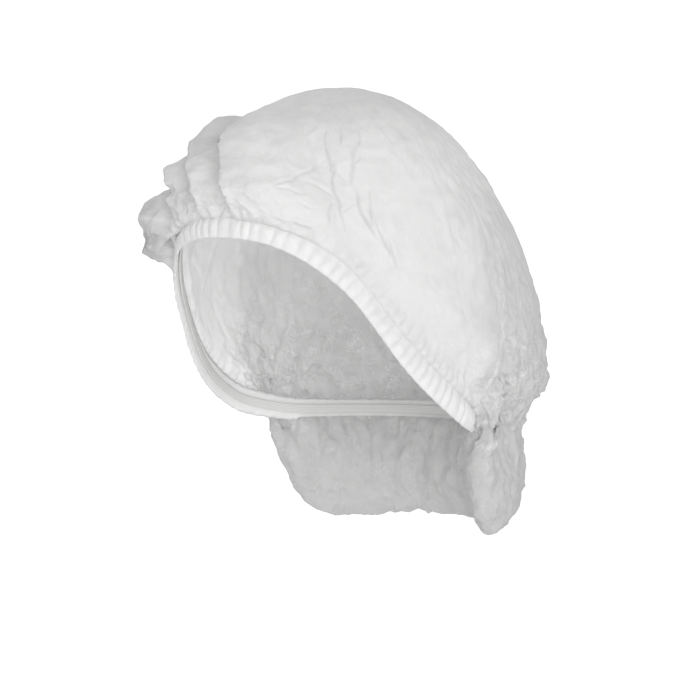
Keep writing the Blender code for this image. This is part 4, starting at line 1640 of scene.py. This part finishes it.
@dataclass
class Crown:
    """The bag of the cap: one sheet from the top of the head to the hem."""

    form: WornForm
    rhythm: HemRhythm
    columns: int = 608
    close_columns: tuple[float, ...] = (-45.0, -33.0, 122.0, 134.0)  # where they lie closer
    closer: float = 0.65  # how much closer they lie there
    dome_rows: int = 68
    skirt_rows: int = 94
    row_weights: Span = (0.6, 0.8)  # how close rows lie on top, and how much closer
    row_shares: Span = (0.30, 0.55)  # below these shares of the dome's line
    stand: float = 0.0010  # from the inside of the frame's wall to the sheet
    flat_width: float = 0.39  # of the sheet as it is cut, an oval, from ear to ear
    flat_length: float = 0.48  # and from forehead to nape
    seam_shade: float = 0.30  # how much painted shade darkens the cloth where it meets the hem
    seam_shade_run: float = 0.0014
    crease_shade: float = 0.42  # how much painted shade darkens a crease's line
    ridge_light: float = 0.72  # painted light given to the crumple's ridges, a painted highlight

    def columns_round(self) -> Array:
        """Find the columns' azimuths, closer together over the fan and the wearer's left.

        Returns:
            The azimuths in degrees.
        """
        steps = np.arange(-180.0, 180.0, 0.5)
        weight = 1.0 + self.closer * between(steps, *self.close_columns)
        total = np.concatenate([[0.0], np.cumsum(weight)])
        shares = np.arange(self.columns) / self.columns
        return np.interp(shares * total[-1], total, np.append(steps, 180.0))

    def rows_down(self) -> Array:
        """Find the dome's rows, fewer near the top, where the columns run together.

        Returns:
            The rows, as shares of the dome's line.
        """
        share = np.linspace(0.0, 1.0, 101)
        few, more = self.row_weights
        weight = np.cumsum(np.append(0.0, few + more * rising(share[1:], *self.row_shares)))
        return np.interp(np.linspace(0.0, weight[-1], self.dome_rows + 1), weight, share)

    def lay_out(self) -> SheetGrid:
        """Lay the sheet over the form, with the forehead's pleats but none of its finer folds.

        Returns:
            The sheet's grid.
        """
        azimuths = self.columns_round()
        dome, skirt = self.form.meridians(azimuths)
        upper = evenly_along(dome, self.rows_down())[:, :-1]
        lower = evenly_along(skirt, np.linspace(0.0, 1.0, self.skirt_rows + 1))
        line = np.concatenate([upper, lower], axis=1).transpose(1, 0, 2)
        step = np.gradient(line, axis=0)
        step /= np.linalg.norm(step, axis=-1, keepdims=True)
        run = lengths_along(line)
        level = line[..., 1] / self.form.seam(azimuths)[0][:, 1]
        base = turned_out(azimuths, line[..., 0], line[..., 1])
        line = line + np.stack([step[..., 1], -step[..., 0]], axis=-1) * self.stand
        line = line + Fan(self.form).lift(azimuths, level, base) * (1.0, -1.0)
        line[0] = line[0].mean(axis=0)
        line[0, :, 0] = 0.0
        places = turned_out(azimuths, line[..., 0], line[..., 1])
        return SheetGrid(azimuths, line, run, run[-1] - run, places)

    def shape(self) -> tuple[Array, Array, dict[str, Array]]:
        """Work out the sheet.

        Returns:
            Its places by row and column, where they lie on the flat cut, and the values that its
            finish reads, by name.
        """
        grid = self.lay_out()
        crumple, ridges, slackness = Crumple(self.form).relief(grid)
        folds, creases, ridge_highlights = Creasing(self.form).relief(grid)
        gathers = HemGathers(self.form, self.rhythm).relief(grid)
        relief = gathers + crumple + folds + Waves().relief(grid)
        places = grid.places + outwards(grid.places) * relief[..., None]
        places[0] = places[0].mean(axis=0)
        # Painted light of the head behind, painted shade in creases and where the cloth meets the
        # hem, and painted highlights on ridges.
        close = PaintedBacklight(self.form).painted_shading(grid) * (1.0 - self.crease_shade * creases)
        close *= 1.0 - self.seam_shade * bell(grid.to_seam, self.seam_shade_run)
        close = np.maximum(close, np.maximum(self.ridge_light * ridges, ridge_highlights))
        cloth = self.cloth_lengths(grid.azimuths, grid.run)
        return places, cloth, {"painted_shading": close, "slackness": slackness}

    def cloth_lengths(self, azimuths: Array, run: Array) -> Array:
        """Find where points lie on the flat cut.

        Args:
            azimuths: The columns' azimuths.
            run: How far along the cloth each point is from the top.

        Returns:
            Their two lengths from the middle of the oval, with one more column than run.
        """
        angle = np.radians(np.append(azimuths, azimuths[0]))
        out = np.concatenate([run, run[:, :1]], axis=1)
        return np.stack([out * np.sin(angle), -out * np.cos(angle)], axis=-1)

    def make(self, finish: bpy.types.Material) -> bpy.types.Object:
        """Build the crown, hang it on the root body and hide the frame's crown.

        Args:
            finish: Its material.

        Returns:
            The finished piece.
        """
        places, cloth, values = self.shape()
        mesh, numbers = bent_grid(places, cloth, closed_down=False)
        crown = make_piece("crown_sheet", mesh, finish)
        for name, value in values.items():
            mark(crown, name, numbers, value)
        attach(crown, "root")
        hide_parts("crown")
        return crown


@dataclass
class HemCasing:
    """The ruched hem, in puffs square to its edge."""

    form: WornForm
    rhythm: HemRhythm
    columns_a_rib: int = 12
    outer_rows: int = 30
    inner_rows: int = 8
    puff: float = 0.0027  # height of the tallest puff over the casing's wall
    valley: float = 0.25  # height of the valleys between puffs, a share of that
    even: float = 0.6  # height that the puffs level out to where the outer row is weak
    passing: float = 0.8  # how fast the lower row of puffs passes into the upper one
    rows: tuple[Span, ...] = ((0.0, 0.80), (0.06, 0.95))  # shift and roundness
    bulge: Span = (0.55, 0.90)  # exponents of the profile, below and above
    corner: Span = (0.4, 0.5)  # exponents that round its edges, outside and inside
    scallop: float = 0.0007  # how far a puff bulges past the hem's edges
    dents: Layers = (Noise(0.0042, 0.12, 62), Noise(0.010, 0.14, 63))
    dent_reach: float = 0.09  # radius of the ring that the dents are read on
    dent_height: float = 0.0040  # and half its height
    painted_shading: Span = (0.82, 1.07)  # painted shade in the valleys and painted highlight on the puffs
    puffed: Span = (0.25, 0.875)  # heights of a puff between which that changes
    slackness: float = 0.25
    gathered: float = 1.6  # length of the cloth in the casing for each length of the hem

    def outer_row(self, azimuths: Array, half: Array, up: float) -> tuple[Array, Array, Array]:
        """Shape one row of the casing's outside.

        Args:
            azimuths: The columns' azimuths.
            half: Half the hem's height at each.
            up: Where the row is, from -1 at the lower edge to 1 at the upper one.

        Returns:
            Each point's height above the hem's middle, how far out it is, and its painted light and
            shade.
        """
        phase = self.rhythm.upright(azimuths, half * (up + 1.0))
        lower, upper = (
            self.valley + (1.0 - self.valley) * self.rhythm.puffs(phase + shift, roundness, family)
            for family, (shift, roundness) in enumerate(self.rows)
        )
        share = ease(0.5 + up * self.passing)
        puffs = lower * (1.0 - share) + upper * share
        puffs = self.even + (puffs - self.even) * read_table(RUMPLES, azimuths)["outer"]
        spots = turned_out(azimuths, np.ones_like(half), np.zeros_like(half)) * self.dent_reach
        dents = noise(spots + np.array([0.0, 0.0, self.dent_height * up]), *self.dents)
        fullness = self.bulge[0] if up < 0 else self.bulge[1]
        bulge = max(math.cos(up * math.pi / 2), 0.0) ** fullness
        edge = math.sqrt(max(1.0 - up * up, 0.0)) ** self.corner[0]
        off = self.form.hem_wall / 2 * edge + self.puff * (puffs + dents) * bulge
        height = up * half + up * abs(up) ** 3 * self.scallop * puffs
        return height, off, np.interp(puffs, self.puffed, self.painted_shading)

    def shape(self) -> tuple[Array, Array, Array]:
        """Work out the casing.

        Returns:
            Its places by row and column, its lengths in the cloth and its painted light and shade.
        """
        columns = self.rhythm.ribs * self.columns_a_rib
        azimuths = np.arange(columns) * 360.0 / columns
        half = self.form.hem_height * self.form.sections(azimuths)["height"] / 2
        ups = [2.0 * row / self.outer_rows - 1.0 for row in range(self.outer_rows + 1)]
        rows = [self.outer_row(azimuths, half, up) for up in ups]
        for row in range(1, self.inner_rows):
            down = 1.0 - 2.0 * row / self.inner_rows
            edge = math.sqrt(max(1.0 - down * down, 0.0)) ** self.corner[1]
            inside = np.full_like(half, -self.form.hem_wall / 2 * edge)
            rows.append((half * down, inside, np.ones(columns)))
        height, off, close = (np.stack(values) for values in zip(*rows))
        places = self.form.hem_places(azimuths, height, off)
        return places, self.cloth_lengths(azimuths, places), close

    def cloth_lengths(self, azimuths: Array, places: Array) -> Array:
        """Measure the cloth round the hem and round its profile.

        Args:
            azimuths: The columns' azimuths.
            places: The casing's places, by row and column.

        Returns:
            The two lengths, with one more row and column than places.
        """
        run = lengths_along(np.concatenate([places, places[:1]]))
        run = np.concatenate([run, run[:, :1]], axis=1)
        around = np.radians(np.append(azimuths, 360.0)) * self.form.head_half_length
        return np.stack([np.broadcast_to(around * self.gathered, run.shape), run], axis=-1)

    def make(self, finish: bpy.types.Material) -> bpy.types.Object:
        """Build the casing, hang it on the root body and hide the frame's casing.

        Args:
            finish: Its material.

        Returns:
            The finished piece.
        """
        places, cloth, close = self.shape()
        mesh, numbers = bent_grid(places, cloth, closed_down=True)
        bmesh.ops.recalc_face_normals(mesh, faces=mesh.faces)
        casing = make_piece("hem_ruching", mesh, finish)
        mark(casing, "painted_shading", numbers, close)
        mark(casing, "slackness", numbers, np.full_like(close, self.slackness))
        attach(casing, "root")
        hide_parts("hem_casing")
        return casing


@dataclass
class ElasticBand:
    """The flat elastic against the inside of the casing."""

    form: WornForm
    columns: int = 480
    corner: float = 0.9  # where its corners start, a share of half its width
    edge: float = 0.25  # and of its thickness

    def outline(self) -> Array:
        """Draw the band's profile.

        Returns:
            Its points: how far up from the band's middle and how far out of its face.
        """
        corner, edge = self.corner, self.edge
        shares = [
            (-corner, 0.0), (0.0, 0.0), (corner, 0.0), (1.0, edge), (1.0, 1.0 - edge),
            (corner, 1.0), (corner / 2, 1.0), (0.0, 1.0), (-corner / 2, 1.0), (-corner, 1.0),
            (-1.0, 1.0 - edge), (-1.0, edge),
        ]
        return np.array(shares) * (self.form.elastic_width / 2, -self.form.elastic_thickness)

    def make(self, finish: bpy.types.Material) -> bpy.types.Object:
        """Build the band, hang it on the root body and hide the frame's elastic.

        Args:
            finish: Its material.

        Returns:
            The finished piece.
        """
        form = self.form
        outline = self.outline()
        azimuths = np.arange(self.columns) * 360.0 / self.columns
        height, off = (np.repeat(ends[:, None], self.columns, axis=1) for ends in outline.T)
        places = form.hem_places(azimuths, height, off - form.hem_wall / 2 - form.seam_gap)
        run = lengths_along(np.concatenate([outline, outline[:1]]))
        length = lengths_along(form.hem_ring(np.linspace(0.0, 360.0, 721)))[-1]
        around = np.arange(self.columns + 1) / self.columns * length
        cloth = np.stack(np.broadcast_arrays(around[None, :], run[:, None]), axis=-1)
        mesh, _ = bent_grid(places, cloth, closed_down=True)
        bmesh.ops.recalc_face_normals(mesh, faces=mesh.faces)
        band = make_piece("elastic_band", mesh, finish)
        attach(band, "root")
        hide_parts("elastic")
        return band


class Lamp(NamedTuple):
    """One soft light of the studio, aimed at the cap."""

    name: str
    azimuth: float  # degrees from the front towards the wearer's left
    elevation: float
    distance: float  # metres
    size: float
    power: float  # watts


LAMPS = [
    Lamp("key", 48, 5, 2.2, 1.4, 21.6),
    Lamp("back", 262, 24, 2.2, 0.7, 12.0),
]


@dataclass
class Studio:
    """The pale studio: a white cove all round, soft lights and the camera."""

    floor_depth: float = 1.25  # below the crown's top, as for a cap hung up
    floor_reach: float = 3.4
    cove: float = 1.4  # radius between the floor and the wall
    cove_steps: int = 12
    cove_turns: int = 96
    wall_height: float = 5.2
    camera_azimuth: float = 40.0
    camera_elevation: float = 3.0
    camera_distance: float = 1.5
    sensor: float = 36.0  # millimetres
    view_width: float = 0.364  # what the camera sees across at the cap
    aim_depth: float = 0.1352
    aim_right: float = 0.0026
    white: Colour = (1.0, 1.0, 1.0, 1.0)
    ambient: float = 0.585
    paper: Colour = (0.80, 0.80, 0.80, 1.0)
    paper_roughness: float = 0.9
    paper_gloss: float = 0.2
    paper_glow: float = 0.14  # light of the paper's own
    paper_seen: float = 0.50  # what it shows more of to the camera, for a clean white

    def cove_material(self) -> bpy.types.Material:
        """Build a pale, evenly lit paper.

        Returns:
            The material.
        """
        made = bpy.data.materials.new("studio_paper")
        made.use_nodes = True
        shader = made.node_tree.nodes["Principled BSDF"]
        shader.inputs["Base Color"].default_value = self.paper
        shader.inputs["Roughness"].default_value = self.paper_roughness
        shader.inputs["Specular IOR Level"].default_value = self.paper_gloss
        shader.inputs["Emission Color"].default_value = self.white
        graph = Graph(made.node_tree)
        seen = graph.node("LightPath").outputs["Is Camera Ray"]
        glow = graph.math("MULTIPLY_ADD", seen, self.paper_seen, self.paper_glow)
        graph.feed(shader.inputs["Emission Strength"], glow)
        return made

    def build_cove(self) -> None:
        """Turn the floor and wall of the cove round the cap."""
        mesh = bmesh.new()
        spots = [(0.0, 0.0), (self.floor_reach, 0.0)]
        for step in range(1, self.cove_steps + 1):
            angle = math.pi / 2 * step / self.cove_steps
            spots.append(
                (self.floor_reach + self.cove * math.sin(angle), self.cove * (1 - math.cos(angle)))
            )
        spots.append((self.floor_reach + self.cove, self.wall_height))
        verts = [mesh.verts.new((x, 0.0, z - self.floor_depth)) for x, z in spots]
        edges = [mesh.edges.new(pair) for pair in zip(verts, verts[1:])]
        bmesh.ops.spin(
            mesh, geom=[*verts, *edges], cent=(0, 0, 0), axis=(0, 0, 1), angle=math.tau,
            steps=self.cove_turns, use_merge=True,
        )
        bmesh.ops.remove_doubles(mesh, verts=mesh.verts, dist=0.0001)
        make_piece("studio_cove", mesh, self.cove_material())

    def place(
        self, name: str, data: bpy.types.ID, azimuth: float, elevation: float, distance: float
    ) -> bpy.types.Object:
        """Place a light or the camera round the cap, aimed at it.

        Args:
            name: Its object's name.
            data: The light or the camera.
            azimuth: Degrees from the front towards the wearer's left.
            elevation: Degrees above the cap.
            distance: How far off it is, in metres.

        Returns:
            Its object.
        """
        item = bpy.data.objects.new(name, data)
        way = self.towards(azimuth, elevation)
        item.location = self.aim() + way * distance
        item.rotation_mode = "QUATERNION"
        item.rotation_quaternion = way.to_track_quat("Z", "Y")
        bpy.context.scene.collection.objects.link(item)
        return item

    def aim(self) -> Vector:
        """The point that the camera and the lights look at."""
        right = self.towards(self.camera_azimuth + 90.0, 0.0)
        return right * self.aim_right - Vector((0.0, 0.0, self.aim_depth))

    def towards(self, azimuth: float, elevation: float) -> Vector:
        """Find the direction from the cap to an azimuth and elevation.

        Args:
            azimuth: Degrees from the front towards the wearer's left.
            elevation: Degrees above the cap.

        Returns:
            The direction.
        """
        turn, rise = math.radians(azimuth), math.radians(elevation)
        return Vector(
            (math.sin(turn) * math.cos(rise), -math.cos(turn) * math.cos(rise), math.sin(rise))
        )

    def light(self) -> None:
        """Hang the lights and set the even light all round."""
        for lamp in LAMPS:
            name = f"light_{lamp.name}"
            data = bpy.data.lights.new(name, "AREA")
            data.shape = "DISK"
            data.size = lamp.size
            data.energy = lamp.power
            self.place(name, data, lamp.azimuth, lamp.elevation, lamp.distance)
        world = bpy.data.worlds.new("studio_air")
        world.use_nodes = True
        sky = world.node_tree.nodes["Background"]
        sky.inputs["Color"].default_value = self.white
        sky.inputs["Strength"].default_value = self.ambient
        bpy.context.scene.world = world

    def shoot(self) -> None:
        """Place the camera as the photograph's."""
        data = bpy.data.cameras.new("camera")
        data.sensor_width = self.sensor
        data.lens = self.sensor * self.camera_distance / self.view_width
        bpy.context.scene.camera = self.place(
            "camera", data, self.camera_azimuth, self.camera_elevation, self.camera_distance
        )
        bpy.context.scene.view_settings.view_transform = "Standard"


def report(piece: bpy.types.Object) -> None:
    """Log a piece and its size in faces."""
    LOG.info("%s: %d faces", piece.name, len(piece.data.polygons))


def main() -> None:
    """Build the studio and the cap's pieces round the frame."""
    logging.basicConfig(level=logging.INFO, format="%(message)s")
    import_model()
    studio = Studio()
    studio.shoot()
    studio.light()
    studio.build_cove()
    form = WornForm()
    rhythm = HemRhythm(form)
    web = Web().group()
    crown = Crown(form, rhythm)
    sheet = crown.make(NonwovenFinish("white_nonwoven").material(web))
    # The hem's cloth lies two layers thick, so it is paler and lets less light through; its paler
    # colour is also painted light of the head behind it.
    doubled_and_backlit = NonwovenFinish("white_nonwoven_hem", colour=(0.955, 0.955, 0.952, 1.0), through=0.12)
    casing = HemCasing(form, rhythm).make(doubled_and_backlit.material(web))
    band = ElasticBand(form).make(ElasticFinish("white_elastic").material())
    for piece in (sheet, casing, band):
        report(piece)


if __name__ == "__main__":
    main()
